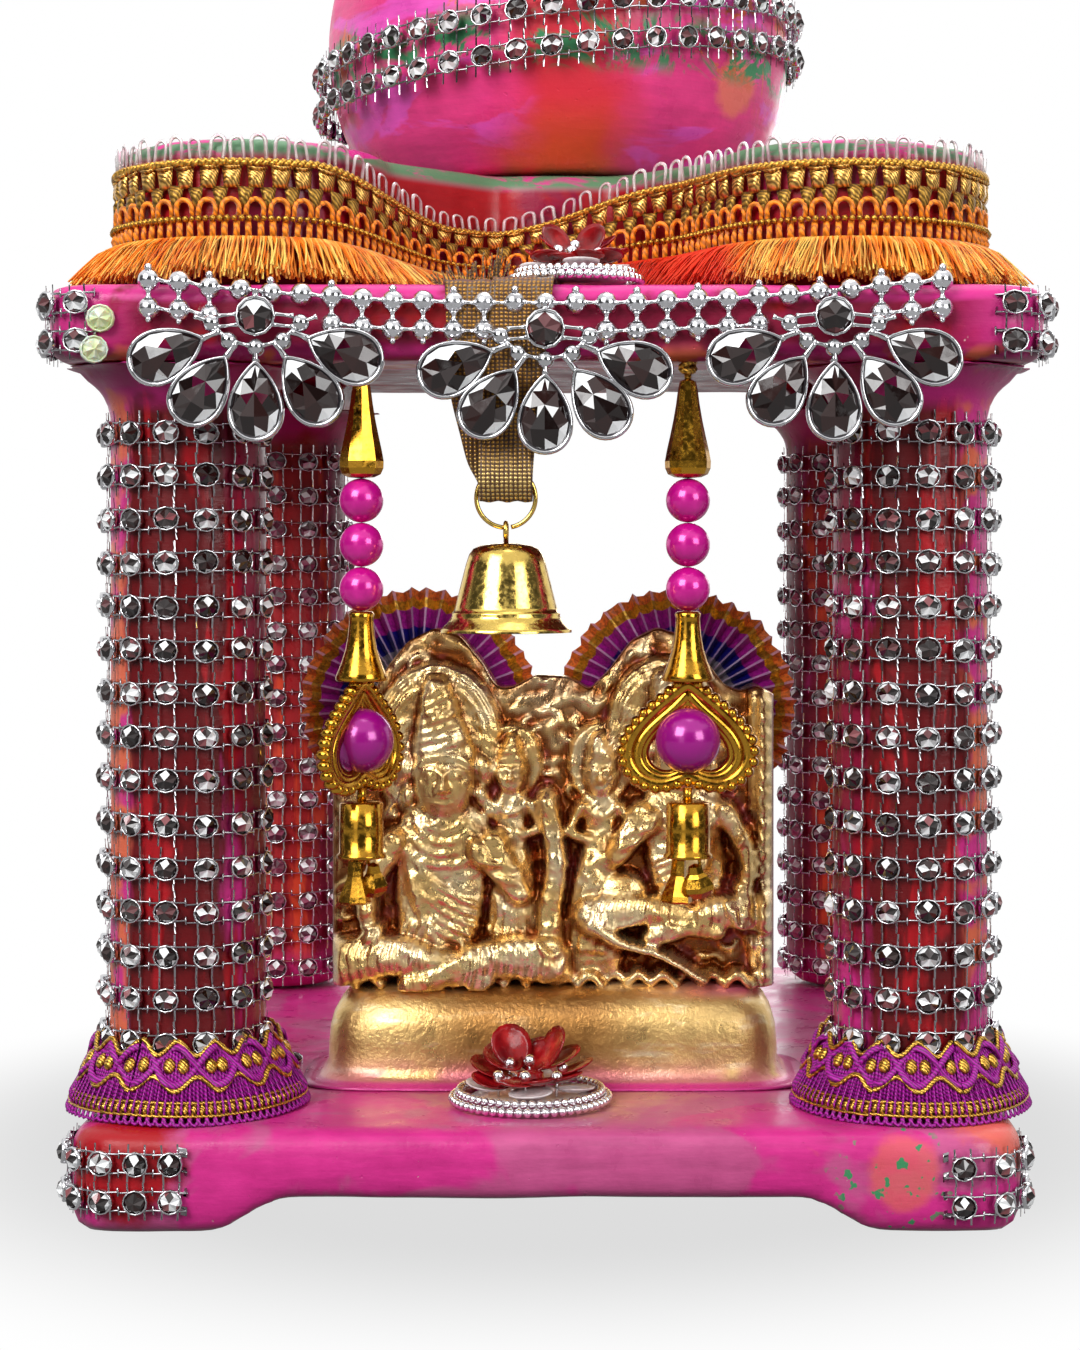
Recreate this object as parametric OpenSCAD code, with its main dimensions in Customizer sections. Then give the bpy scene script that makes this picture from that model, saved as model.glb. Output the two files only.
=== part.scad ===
// Tabletop pooja mandir: a hand-moulded clay shrine with four round pillars,
// a coved cornice, a four-lobed upper tier and an onion dome, trimmed with
// stone net, lace, fringe, bead garlands, two tassels and a hanging bell.

/* [Pillars] */
// Distance between pillar centres, across and front to back
pillar_gap = 132; // [118:1:160]
// Diameter of a pillar shaft
pillar_d = 28.5; // [22:0.5:34]
// Height of a pillar from the floor to the cornice
pillar_h = 133.4; // [120:0.5:170]
// Radius of the rounded foot of a pillar
pillar_foot_r = 5; // [2:0.5:8]
// Height of the cove where a pillar spreads into the cornice
cove_h = 8; // [5:0.5:12]

/* [Base] */
// Thickness of the base slab
slab_h = 12.4; // [10:0.2:20]
// Height of the bracket feet under the slab
foot_h = 6.2; // [3:0.2:10]
// Step of the base beyond the pillars at each side
base_step_side = 3.75; // [3:0.25:14]
// Step of the base beyond the pillars at the front and the rear
base_step_front = 11.75; // [8:0.25:24]
// Radius of the base corners in plan
base_corner_r = 11; // [7:0.5:16]
// Radius of the rounded edges of the base
base_edge_r = 4; // [2:0.5:5]
// Flat length of a foot on the ground, from the corner
foot_l = 24; // [18:1:34]
// Length of the curved rise beside a foot
foot_rise_l = 16; // [8:1:24]

/* [Cornice] */
// Overhang of the cornice beyond the pillars
cornice_step = 8.25; // [8:0.25:16]
// Height of the cornice face
fascia_h = 14; // [12:0.5:22]
// Radius of the cornice corners in plan
cornice_corner_r = 9; // [5:0.5:14]
// Radius of the rounded edges of the cornice
cornice_edge_r = 2.5; // [1:0.25:4]
// Depth of the hollow in the ceiling
ceiling_rise = 6; // [2:0.5:8]

/* [Upper tier] */
// Radius of a corner lobe
lobe_r = 25; // [18:0.5:28]
// Ledge of the cornice left around the lobes
lobe_ledge = 8.5; // [6:0.5:14]
// Height of the upper tier
tier_h = 27; // [20:0.5:36]
// Width of the arms that join the lobes to the middle
arm_w = 36; // [24:1:46]
// Radius of the middle drum under the dome
drum_r = 38; // [36:0.5:44]
// Rounding of the rim of the tier
tier_edge_r = 2; // [1:0.25:3]

/* [Dome] */
// Widest diameter of the dome
dome_d = 96; // [80:1:110]
// Diameter of the dome where it stands on the tier
dome_foot_d = 70; // [60:1:76]
// Height of the dome
dome_h = 90; // [70:1:110]
// Height of the finial
finial_h = 25; // [18:1:36]
// Diameter of the finial's pot
finial_d = 15; // [10:0.5:20]

/* [Stone net and trims] */
// Thickness of the stone net glued round a pillar
net_t = 0.8; // [0.5:0.1:1.5]
// Distance between rows of stones
net_row = 7.75; // [6:0.25:9]
// Number of rows of stones on a pillar
net_rows = 16; // [10:1:18]
// Height of the lowest edge of a pillar net above the floor
net_low = 1.4; // [1:0.1:4]
// Angle of the bare strip on the inner side of a front pillar
net_bare = 96; // [60:6:150]
// Angle of the open seam at the back of a rear pillar
net_seam = 9; // [4:1:20]
// Height of the lace round a front pillar's foot
lace_h = 14; // [8:0.5:18]
// Spread of the lace beyond the pillar at its lower edge
lace_spread = 6.6; // [3:0.2:7.5]
// Thickness of the lace
lace_t = 1.2; // [0.8:0.1:2]
// Diameter of a garland bead
bead_d = 4.2; // [3:0.1:5]
// Distance between garland beads
bead_pitch = 5.3; // [4.6:0.1:7]
// Sag of the garland across the front
bead_sag = 4.2; // [0:0.1:5]
// Length of a pear stone in its setting
pear_l = 14; // [10:0.5:15]
// Width of a pear stone in its setting
pear_w = 9.9; // [8:0.1:10.5]
// Distance from the middle of one stone rosette to the next
rosette_gap = 50; // [44:1:56]

/* [Gold relief] */
// Width of the gold relief
relief_w = 86; // [70:1:90]
// Depth of the gold relief
relief_d = 30; // [24:1:36]
// Height of its smooth seat
seat_h = 18; // [12:1:24]
// Height of the relief above the seat
relief_h = 69; // [56:1:76]
// Distance from the front of the pillars back to the seat
relief_back = 26.5; // [22:0.5:32]
// Diameter of a pleated ribbon fan
fan_d = 47; // [36:1:50]

/* [Bell] */
// Width of the bell's ribbon
ribbon_w = 10.6; // [8:0.2:14]
// Outer diameter of the wire ring
ring_d = 11.2; // [10:0.1:14]
// Diameter of the ring's wire
wire_d = 0.8; // [0.6:0.1:1]
// Diameter of the bell at its mouth
bell_d = 23; // [18:0.5:26]
// Height of the bell
bell_h = 15; // [12:0.5:18]

/* [Tassels] */
// Diameter of a strung pearl
pearl_d = 7.8; // [6:0.1:9]
// Length of the gold drop above the pearls
drop_l = 17.5; // [12:0.5:20]
// Width of the beaded heart
heart_w = 24; // [18:0.5:26]
// Height of the beaded heart
heart_h = 21; // [17:0.5:24]
// Diameter of the pearl held in the heart
heart_pearl_d = 9.6; // [7:0.1:10]

/* [Hidden] */
$fn = 72;

// Colours of the paint and the trims
pink = "#d6388a";
crimson = "#a01e4b";
gold = "#c9a227";
silver = "#c8c8cc";
lace_purple = "#a8128f";
fringe_orange = "#f98b10";
pearl_pink = "#c8128c";

// Glue line between pieces that are stuck together
glue = 0.1;
// Gap at the front that the ribbon and the cords pass through behind the trims
trim_gap = 0.7;

// Heights of the main levels
floor_z = foot_h + slab_h;
cornice_z = floor_z + pillar_h;
roof_z = cornice_z + fascia_h;
dome_z = roof_z + tier_h;
finial_z = dome_z + dome_h;

// Plan sizes that follow from the pillars
pillar_r = pillar_d / 2;
pillar_x = pillar_gap / 2;
base_w = pillar_gap + pillar_d + 2 * base_step_side;
base_d = pillar_gap + pillar_d + 2 * base_step_front;
cornice_w = pillar_gap + pillar_d + 2 * cornice_step;
front_y = -cornice_w / 2;
lobe_x = cornice_w / 2 - lobe_ledge - lobe_r;
trim_y = front_y - trim_gap;

// Places of the hanging pieces
hang_y = front_y + 5;
bell_x = -7;
bell_y = front_y + 2;
tassel_left_x = -32.6;
tassel_right_x = 24.9;

// ---- General shapes ----

// Points of a smooth curve through the points p, with n steps between each two
function curve_at(a, b, c, d, t) =
  0.5 * (2 * b + (c - a) * t + (2 * a - 5 * b + 4 * c - d) * t * t
         + (3 * b - a - 3 * c + d) * t * t * t);
function smooth(p, n) = concat(
  [for (i = [0 : len(p) - 2], j = [0 : n - 1])
    curve_at(p[max(i - 1, 0)], p[i], p[i + 1], p[min(i + 2, len(p) - 1)], j / n)],
  [p[len(p) - 1]]);

// Rectangle with rounded corners, centred
module round_rect(w, d, r) {
  square([w - 2 * r, d], center = true);
  square([w, d - 2 * r], center = true);
  for (x = [-1, 1], y = [-1, 1])
    translate([x * (w / 2 - r), y * (d / 2 - r)])
      circle(r);
}

// Quarter disc of radius e, right of and above its centre
module quarter_disc(e) {
  intersection() {
    circle(e);
    square(2 * e);
  }
}

// Layer of height e whose upper edge is rounded all round
module plate_rim(w, d, r, e) {
  linear_extrude(e)
    round_rect(w - 2 * e, d - 2 * e, r - e);
  for (a = [0, 180]) {
    rotate(a)
      translate([w / 2 - e, d / 2 - r, 0])
        rotate([90, 0, 0])
          linear_extrude(d - 2 * r)
            quarter_disc(e);
    rotate(a)
      translate([w / 2 - r, -d / 2 + e, 0])
        rotate([90, 0, -90])
          linear_extrude(w - 2 * r)
            quarter_disc(e);
  }
  for (x = [-1, 1], y = [-1, 1])
    translate([x * (w / 2 - r), y * (d / 2 - r), 0])
      rotate_extrude()
        translate([r - e, 0])
          quarter_disc(e);
}

// Plate with rounded corners in plan and rounded upper and lower edges
module soft_plate(w, d, h, r, e) {
  translate([0, 0, e])
    linear_extrude(h - 2 * e)
      round_rect(w, d, r);
  translate([0, 0, h - e])
    plate_rim(w, d, r, e);
  translate([0, 0, e])
    mirror([0, 0, 1])
      plate_rim(w, d, r, e);
}

// Ring of round wire, standing in the plane across Y
module wire_ring(outer_d, wire) {
  rotate([90, 0, 0])
    rotate_extrude()
      translate([(outer_d - wire) / 2, 0])
        circle(d = wire, $fn = 24);
}

// ---- Clay body ----

// Side outline of a bracket foot: rounded at the corner, curved on its inner side
function foot_outline(half) = concat(
  [[half, foot_h]],
  [for (i = [0 : 6]) [half - base_edge_r * (1 - cos(15 * i)), base_edge_r * (1 - sin(15 * i))]],
  [for (i = [0 : 10])
    [half - foot_l - foot_rise_l * i / 10, foot_h * (1 - cos(18 * i)) / 2]]);

module bracket_foot() {
  intersection() {
    rotate([90, 0, 0])
      linear_extrude(base_d, center = true)
        polygon(foot_outline(base_w / 2));
    mirror([1, -1, 0])
      rotate([90, 0, 0])
        linear_extrude(base_w, center = true)
          polygon(foot_outline(base_d / 2));
    linear_extrude(foot_h)
      round_rect(base_w, base_d, base_corner_r);
  }
}

// Slab with rounded upper edges on four bracket feet
module base() {
  e = base_edge_r;
  color(pink) {
    translate([0, 0, foot_h])
      linear_extrude(slab_h - e)
        round_rect(base_w, base_d, base_corner_r);
    translate([0, 0, floor_z - e])
      plate_rim(base_w, base_d, base_corner_r, e);
    for (x = [0, 1], y = [0, 1])
      mirror([x, 0, 0])
        mirror([0, y, 0])
          bracket_foot();
  }
}

module pillar(sx, sy) {
  cap_r = pillar_r + cornice_step;
  foot = pillar_foot_r;
  color(crimson)
    translate([sx * pillar_x, sy * pillar_x, floor_z])
      rotate_extrude()
        difference() {
          union() {
            square([pillar_r - foot, foot + 1]);
            translate([0, foot])
              square([pillar_r, pillar_h - foot]);
            translate([pillar_r - foot, foot])
              intersection() {
                circle(foot);
                translate([0, -foot])
                  square([foot, foot + 1]);
              }
            translate([0, pillar_h - cove_h])
              square([cap_r, cove_h]);
          }
          translate([cap_r, pillar_h - cove_h - 1])
            scale([cornice_step / cove_h, 1])
              circle(cove_h);
        }
}

// How much narrower the lintels are than the pillars' inner edges reach
lintel_inset = 12;

// The ceiling is hollowed between the pillars and runs out at the rear
module ceiling_hollow() {
  reach = pillar_x - pillar_r;
  lip = cornice_w / 2 - pillar_x + pillar_r - lintel_inset;
  deep = ceiling_rise;
  translate([-reach, -cornice_w / 2 + lip, -1])
    cube([2 * reach, cornice_w - lip + 1, deep + 1]);
  translate([-cornice_w / 2 + lip, -reach, -1])
    cube([cornice_w - 2 * lip, 2 * reach, deep + 1]);
}

module cornice() {
  color(pink)
    translate([0, 0, cornice_z])
      difference() {
        soft_plate(cornice_w, cornice_w, fascia_h, cornice_corner_r, cornice_edge_r);
        ceiling_hollow();
      }
}

// Plan of the upper tier, grown outwards by g
module tier_plan(g) {
  circle(drum_r + g);
  for (a = [45, 135])
    rotate(a)
      square([2 * lobe_x * sqrt(2), arm_w + 2 * g], center = true);
  for (x = [-1, 1], y = [-1, 1])
    translate([x * lobe_x, y * lobe_x])
      circle(lobe_r + g);
}

module upper_tier() {
  color(pink)
    translate([0, 0, roof_z]) {
      linear_extrude(tier_h - tier_edge_r)
        tier_plan(0);
      linear_extrude(tier_h)
        tier_plan(-tier_edge_r);
      for (x = [-1, 1], y = [-1, 1])
        translate([x * lobe_x, y * lobe_x, tier_h - tier_edge_r])
          rotate_extrude()
            translate([lobe_r - tier_edge_r, 0])
              intersection() {
                circle(tier_edge_r);
                translate([0, -tier_edge_r])
                  square(2 * tier_edge_r);
              }
    }
}

// Outline of the dome: radius and height of the points that shape it
dome_shape = [
  [dome_foot_d / 2, 0],
  [dome_d * 0.46, dome_h * 0.12],
  [dome_d / 2, dome_h * 0.32],
  [dome_d * 0.46, dome_h * 0.54],
  [dome_d * 0.32, dome_h * 0.76],
  [dome_d * 0.13, dome_h * 0.92],
  [finial_d * 0.36, dome_h]
];

module dome() {
  color(pink)
    translate([0, 0, dome_z])
      rotate_extrude()
        polygon(concat([[0, 0]], smooth(dome_shape, 6), [[0, dome_h]]));
}

module finial() {
  r = finial_d / 2;
  h = finial_h;
  color(gold)
    translate([0, 0, finial_z])
      rotate_extrude()
        polygon(concat([[0, 0]], smooth([
          [r * 0.72, 0], [r * 0.75, h * 0.06], [r * 0.4, h * 0.14], [r * 0.75, h * 0.22],
          [r, h * 0.36], [r * 0.62, h * 0.5], [r * 0.3, h * 0.56], [r * 0.42, h * 0.64],
          [r * 0.3, h * 0.74], [r * 0.1, h * 0.92], [r * 0.05, h]], 5), [[0, h]]));
}

// ---- Stone net, lace and fringe ----

// Net of stones round a pillar, but for a bare strip of the given angle at its middle
module pillar_net(sx, sy, bare, middle) {
  r = pillar_r + glue;
  color(silver)
    translate([sx * pillar_x, sy * pillar_x, floor_z + net_low])
      rotate(middle + bare / 2)
        rotate_extrude(angle = 360 - bare)
          translate([r, 0])
            square([net_t, net_row * net_rows]);
}

// Lace round the foot of a front pillar, open towards the back of the shrine
module foot_lace(sx) {
  r = pillar_r + net_t + 2 * glue;
  gap = 30;
  cords = 5;
  groove = 0.5;
  start = sx < 0 ? 45 + gap / 2 : 135 + gap / 2;
  color(lace_purple)
    translate([sx * pillar_x, -pillar_x, floor_z])
      rotate(start)
        rotate_extrude(angle = 360 - gap)
          polygon(concat(
            [[r, lace_h], [r + lace_spread, 0]],
            [for (i = [0 : 2 * cords])
              let (k = i / (2 * cords), out = i % 2 == 0 ? lace_t : lace_t - groove)
                [r + lace_spread * (1 - k) + out, lace_h * k]]));
}

module tier_fringe() {
  band_t = 2.4;
  rib_t = 0.6;
  rib_h = 1.2;
  skirt_t = 4.5;
  skirt_h = 7;
  drop = 3;
  color(fringe_orange)
    translate([0, 0, roof_z])
      difference() {
        union() {
          linear_extrude(tier_h - drop)
            tier_plan(band_t);
          for (z = [tier_h * 0.31, tier_h * 0.46, tier_h * 0.8])
            translate([0, 0, z])
              linear_extrude(rib_h)
                tier_plan(band_t + rib_t);
          linear_extrude(skirt_h)
            tier_plan(skirt_t - rib_t);
          linear_extrude(skirt_h / 2)
            tier_plan(skirt_t);
        }
        translate([0, 0, -1])
          linear_extrude(tier_h + 2)
            tier_plan(glue);
      }
}

// Band of stone net round the widest part of the dome, a little askew
module dome_stone_band() {
  band_h = 15;
  lean = 7;
  mid = dome_h * 0.287;
  gap = 0.6;
  color(silver)
    translate([0, 0, dome_z + mid])
      rotate([0, -lean, 0])
        difference() {
          cylinder(r = dome_d / 2 + gap + 1, h = band_h, center = true);
          cylinder(r = dome_d / 2 + gap, h = band_h + 2, center = true);
        }
}

// Net patch that wraps a corner of a rounded block
module corner_patch(w, d, r, reach_x, reach_y, low, high) {
  translate([0, 0, low])
    linear_extrude(high - low)
      intersection() {
        difference() {
          round_rect(w + 2 * glue + 2 * net_t, d + 2 * glue + 2 * net_t, r + glue + net_t);
          round_rect(w + 2 * glue, d + 2 * glue, r + glue);
        }
        translate([w / 2 + 2 - reach_x, -d / 2 - 2])
          square([reach_x, reach_y]);
      }
}

module cornice_patch(sx) {
  front_reach = 13;
  side_reach = 24;
  color(silver)
    mirror([sx < 0 ? 1 : 0, 0, 0])
      corner_patch(cornice_w, cornice_w, cornice_corner_r, front_reach, side_reach,
                   cornice_z + cornice_edge_r, roof_z - cornice_edge_r);
}

module base_patch(sx) {
  front_reach = sx < 0 ? 24 : 17;
  side_reach = 22;
  low = base_edge_r + (sx < 0 ? 1 : 0);
  color(silver)
    mirror([sx < 0 ? 1 : 0, 0, 0])
      corner_patch(base_w, base_d, base_corner_r, front_reach, side_reach, low,
                   floor_z - base_edge_r);
}

// ---- Bead garland and stone rosettes on the front ----

garland_half = 13;
function bead_x(i) = i * bead_pitch;
function bead_z(x) = roof_z - 4.1 + bead_sag * pow(x / (garland_half * bead_pitch), 2);

// Half bead with its flat back against the front
module half_bead(d) {
  intersection() {
    sphere(d = d, $fn = 20);
    translate([-d, -d, -d])
      cube([2 * d, d, 2 * d]);
  }
}

module bead_garland() {
  low_row = 4.9;
  link_d = 1;
  color(silver)
    translate([0, trim_y, 0])
      for (i = [-garland_half : garland_half]) {
        x = bead_x(i);
        translate([x, 0, bead_z(x)])
          half_bead(bead_d);
        translate([x, 0, bead_z(x) - low_row])
          half_bead(bead_d);
        translate([x - link_d / 2, -link_d, bead_z(x) - low_row])
          cube([link_d, link_d, low_row]);
        if (i < garland_half)
          translate([x, -link_d, min(bead_z(x), bead_z(bead_x(i + 1))) - link_d / 2])
            cube([bead_pitch, link_d, link_d]);
      }
}

// Outline of a pear stone: point at the top, round end below
function pear(w, l) = [for (t = [0 : 12 : 348])
  [w * 0.65 * sin(t) * pow(sin(t / 2), 1.2), l / 2 * cos(t)]];

module pear_stone(w, l) {
  rim = 1.1;
  rotate([90, 0, 0]) {
    linear_extrude(1.4)
      polygon(pear(w, l));
    translate([0, 0, 1.4])
      linear_extrude(1.2, scale = 0.62)
        polygon(pear(w - 2 * rim, l - 2 * rim));
  }
}

// Round stone with five pear stones on short necks below it, each with a small bead
module stone_rosette(x) {
  z = bead_z(x) - 4.6;
  neck_w = 1.2;
  neck_l = 7.5;
  outer_step = 2.2;
  color(silver)
    translate([x, trim_y - bead_d / 2 - glue, z]) {
      rotate([90, 0, 0])
        cylinder(d = 6.3, h = 2.2);
      for (a = [-68, -35, 0, 35, 68]) {
        reach = neck_l + (abs(a) > 60 ? outer_step : 0);
        rotate([0, a, 0]) {
          translate([-neck_w / 2, -neck_w, glue - reach])
            cube([neck_w, neck_w, reach - glue - 2]);
          translate([0, 0, -reach + 2])
            half_bead(3);
          translate([0, 0, -reach - pear_l / 2])
            pear_stone(pear_w, pear_l);
        }
      }
    }
}

// ---- Gold relief with its seat, and the ribbon fans behind it ----

relief_front = -pillar_x - pillar_r + relief_back;
fan_left_x = -27;
fan_right_x = 24;

module relief_seat() {
  color(gold)
    translate([0, relief_front + relief_d / 2, floor_z])
      soft_plate(relief_w, relief_d, seat_h, relief_d * 0.3, seat_h * 0.28);
}

// Round bar from one point to another
module limb(from, to, d) {
  way = to - from;
  reach = norm(way);
  translate(from)
    rotate([0, acos(way[2] / reach), atan2(way[1], way[0])])
      cylinder(d = d, h = reach);
}

// Seated figure in high relief: halo, crown, head, chest, arms and folded legs
module seated_figure(head_z, head_d, knee_x, mirrored) {
  chest_z = head_z - head_d * 1.15;
  knee_z = head_d * 0.5;
  limb_d = head_d * 0.45;
  shoulder = head_d * 0.62;
  mirror([mirrored ? 1 : 0, 0, 0]) {
    translate([0, 0, head_z])
      sphere(d = head_d);
    translate([0, 0, head_z + head_d * 0.3])
      cylinder(d1 = head_d * 0.86, d2 = head_d * 0.25, h = head_d * 1.25);
    translate([0, 0, head_z + head_d * 0.3])
      cylinder(d = head_d * 1.04, h = head_d * 0.2);
    translate([0, 0, chest_z - head_d * 0.9])
      cylinder(d1 = head_d * 0.95, d2 = head_d * 1.25, h = head_d * 1.2);
    translate([0, 0, chest_z + head_d * 0.3])
      cylinder(d1 = head_d * 1.25, d2 = head_d * 0.5, h = head_d * 0.35);
    limb([-shoulder, 0, chest_z + 1], [-knee_x * 0.8, -limb_d * 0.6, knee_z + head_d * 1.1], limb_d);
    limb([-knee_x * 0.8, -limb_d * 0.6, knee_z + head_d * 1.1], [-knee_x * 0.5, -limb_d, knee_z + 2],
         limb_d * 0.9);
    limb([shoulder, 0, chest_z + 1], [knee_x * 0.8, -limb_d * 0.6, knee_z + head_d * 0.8], limb_d);
    limb([-knee_x, 0, knee_z], [knee_x * 0.3, -limb_d, knee_z - 1], limb_d * 1.5);
    limb([knee_x, 0, knee_z], [-knee_x * 0.3, -limb_d, knee_z - 2], limb_d * 1.4);
    for (x = [-knee_x, knee_x])
      translate([x, 0, knee_z])
        sphere(d = limb_d * 1.5);
  }
}

// Standing figure between the seated ones
module standing_figure(head_z, head_d) {
  translate([0, 0, head_z])
    sphere(d = head_d);
  translate([0, 0, head_z + head_d * 0.3])
    cylinder(d1 = head_d * 0.9, d2 = head_d * 0.3, h = head_d * 1.1);
  translate([0, 0, head_d * 0.2])
    cylinder(d1 = head_d * 1.25, d2 = head_d * 0.85, h = head_z - head_d * 1.8);
  translate([0, 0, head_z - head_d * 1.7])
    cylinder(d1 = head_d * 0.85, d2 = head_d * 1.3, h = head_d * 1.1);
  translate([0, 0, head_z - head_d * 0.62])
    cylinder(d1 = head_d * 1.3, d2 = head_d * 0.45, h = head_d * 0.3);
}

module gold_relief() {
  back_t = relief_d * 0.4;
  front = relief_front + relief_d * 0.42;
  ledge = relief_d * 0.3;
  left_x = -relief_w * 0.24;
  right_x = relief_w * 0.26;
  post_w = 4.6;
  halo_r = relief_h * 0.16;
  color(gold)
    translate([0, front, floor_z + seat_h]) {
      translate([-relief_w / 2 + 2, 0, 0])
        cube([relief_w - 4, back_t, relief_h * 0.8]);
      for (x = [left_x, right_x])
        translate([x, 0, relief_h - halo_r])
          rotate([-90, 0, 0])
            cylinder(r = halo_r, h = back_t);
      translate([-relief_w / 2 + 4, -ledge, 0])
        cube([relief_w - 8, ledge + 1, relief_h * 0.045]);
      translate([left_x, -0.5, 0])
        seated_figure(relief_h * 0.58, relief_h * 0.18, relief_w * 0.19, false);
      translate([right_x, -0.5, 0])
        seated_figure(relief_h * 0.58, relief_h * 0.17, relief_w * 0.18, true);
      translate([-relief_w * 0.03, 0, 0])
        standing_figure(relief_h * 0.6, relief_h * 0.12);
      translate([relief_w * 0.09, 0, 0])
        standing_figure(relief_h * 0.56, relief_h * 0.11);
      translate([relief_w / 2 - 2 - post_w, -3, 0])
        cube([post_w, 4, relief_h * 0.76]);
    }
}

// Pleated ribbon rosette behind the relief; every second pleat stands forwards
module ribbon_fan(x) {
  pleats = 36;
  r = fan_d / 2;
  rise = 0.9;
  notch = 1.2;
  hub = 5;
  y = relief_front + relief_d * 0.82 + glue;
  color("#5a1a6a")
    translate([x, y + 3, floor_z + seat_h + relief_h * 0.75])
      rotate([90, 0, 0]) {
        linear_extrude(3 - rise)
          polygon([for (i = [0 : 2 * pleats - 1])
            let (a = 180 * i / pleats, k = r - (i % 2 == 0 ? 0 : notch)) [k * cos(a), k * sin(a)]]);
        for (i = [0 : pleats - 1])
          rotate(360 * i / pleats)
            linear_extrude(3)
              polygon([[hub, -0.15], [r - notch, -0.6], [r - 0.4, 0], [r - notch, 0.6],
                       [hub, 0.15]]);
      }
}

// ---- Sequin flowers ----

// Eight-sided outline of the given width
function octagon(w) = [for (a = [22.5 : 45 : 337.5]) [w / 2 * cos(a), w / 2 * sin(a)]];

// Layer of petals that rise outwards at the given angle
module petals(count, reach, petal_d, rise, z) {
  for (i = [0 : count - 1])
    rotate(360 * i / count)
      translate([0, 0, z])
        rotate([0, -rise, 0])
          translate([reach, 0, 0])
            linear_extrude(petal_t)
              polygon(octagon(petal_d));
}

// Flower of sequins on a ring of beads
module sequin_flower(d, h) {
  ring_t = 2;
  petal_d = h * 0.75;
  color("#8c0f1e") {
    cylinder(d = d, h = ring_t * 0.6);
    cylinder(d = d - ring_t, h = ring_t);
    linear_extrude(h * 0.5)
      polygon(octagon(petal_d * 0.6));
    petals(7, d * 0.26, petal_d, 18, ring_t);
    petals(5, d * 0.19, petal_d, 52, h * 0.2);
  }
}

// Thickness of a sequin petal; the flowers' widths and their places across the front
petal_t = 0.7;
base_flower_d = 26;
roof_flower_d = 22;
base_flower_x = -3.4;
roof_flower_x = 5;

module base_flower() {
  translate([base_flower_x, relief_front - base_flower_d / 2 - 1, floor_z + glue])
    sequin_flower(base_flower_d, 12);
}

module roof_flower() {
  translate([roof_flower_x, front_y + roof_flower_d / 2 + 3, roof_z + ribbon_t + 2 * glue])
    sequin_flower(roof_flower_d, 9);
}

// ---- Bell on its ribbon ----

ring_z = roof_z - 37.8;
ring_wire_z = ring_z - ring_d / 2 + wire_d / 2;
ribbon_t = 0.5;
fold_w = ring_d - 2 * wire_d - 1.2;
fold_r = 2.6;
fold_z = ring_z + fold_r - 0.4;
apex_z = cornice_z - 6;

// Ribbon glued over the cornice and down its face, folded through the ring
module bell_ribbon() {
  t = ribbon_t;
  top = roof_z + glue;
  face = front_y - glue;
  color("#8a6a1c") {
    translate([bell_x - ribbon_w / 2, 0, 0])
      rotate([90, 0, 90])
        linear_extrude(ribbon_w) {
          translate([face - t, apex_z])
            square([t, top + t - apex_z]);
          translate([face - t, top])
            square([12, t]);
        }
    translate([bell_x - fold_w / 2, 0, 0])
      rotate([90, 0, 90])
        linear_extrude(fold_w)
          difference() {
            union() {
              translate([bell_y, fold_z])
                circle(fold_r + t);
              polygon([[bell_y - fold_r - t, fold_z], [bell_y + fold_r + t, fold_z],
                       [face + 0.4, apex_z + 2], [face - t, apex_z + 2]]);
            }
            translate([bell_y, fold_z])
              circle(fold_r);
            polygon([[bell_y - fold_r, fold_z], [bell_y + fold_r, fold_z],
                     [face - 0.1, apex_z]]);
          }
  }
}

module bell_ring() {
  color(gold)
    translate([bell_x, bell_y, ring_z])
      wire_ring(ring_d, wire_d);
}

eye_d = 3.4;
eye_z = ring_wire_z + 1.5 * wire_d + glue - eye_d / 2;
bell_z = eye_z - eye_d / 2 - 1.2 - bell_h;

module bell() {
  r = bell_d / 2;
  h = bell_h;
  wall = 0.8;
  outer = smooth([[r, 0], [r * 0.97, h * 0.05], [r * 0.84, h * 0.13], [r * 0.75, h * 0.3],
                  [r * 0.71, h * 0.42], [r * 0.74, h * 0.45], [r * 0.7, h * 0.48],
                  [r * 0.67, h * 0.66], [r * 0.7, h * 0.69], [r * 0.64, h * 0.72],
                  [r * 0.52, h * 0.86], [r * 0.3, h]], 4);
  inner = smooth([[r - wall, 0], [r * 0.86 - wall, h * 0.1], [r * 0.74 - wall, h * 0.3],
                  [r * 0.66 - wall, h * 0.6], [r * 0.5 - wall, h * 0.8], [0.1, h - wall]], 5);
  color(gold)
    translate([bell_x, bell_y, bell_z]) {
      rotate_extrude()
        polygon(concat(outer, [[0, h]], [for (i = [len(inner) - 1 : -1 : 0]) inner[i]]));
      translate([0, 0, h - 0.2])
        cylinder(d = 2.2, h = 1.6);
      translate([0, 0, eye_z - bell_z])
        rotate(90)
          wire_ring(eye_d, wire_d);
    }
}

// ---- Tassels ----

// Heights down a tassel, from the lintel
cord_len = 2.4;
swing_gap = 0.3;
drop_z = cornice_z - swing_gap - cord_len;
pearls_z = drop_z - drop_l;
cap_z = pearls_z - 3 * pearl_d;
cap_l = 12.5;
heart_z = cap_z - cap_l;
tube_z = heart_z - heart_h;
tube_l = 11;
tube_d = 8.2;
charm_d = 3.8;
charm_drop = 6.9;
// Turn of the left tassel on its thread
left_turn = 62;

module tassel_at(x, turn) {
  translate([x, hang_y, 0])
    rotate(turn)
      children();
}

module tassel_cord() {
  color(gold)
    translate([0, 0, drop_z + glue])
      cylinder(d = 1.4, h = cord_len - glue, $fn = 24);
}

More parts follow.
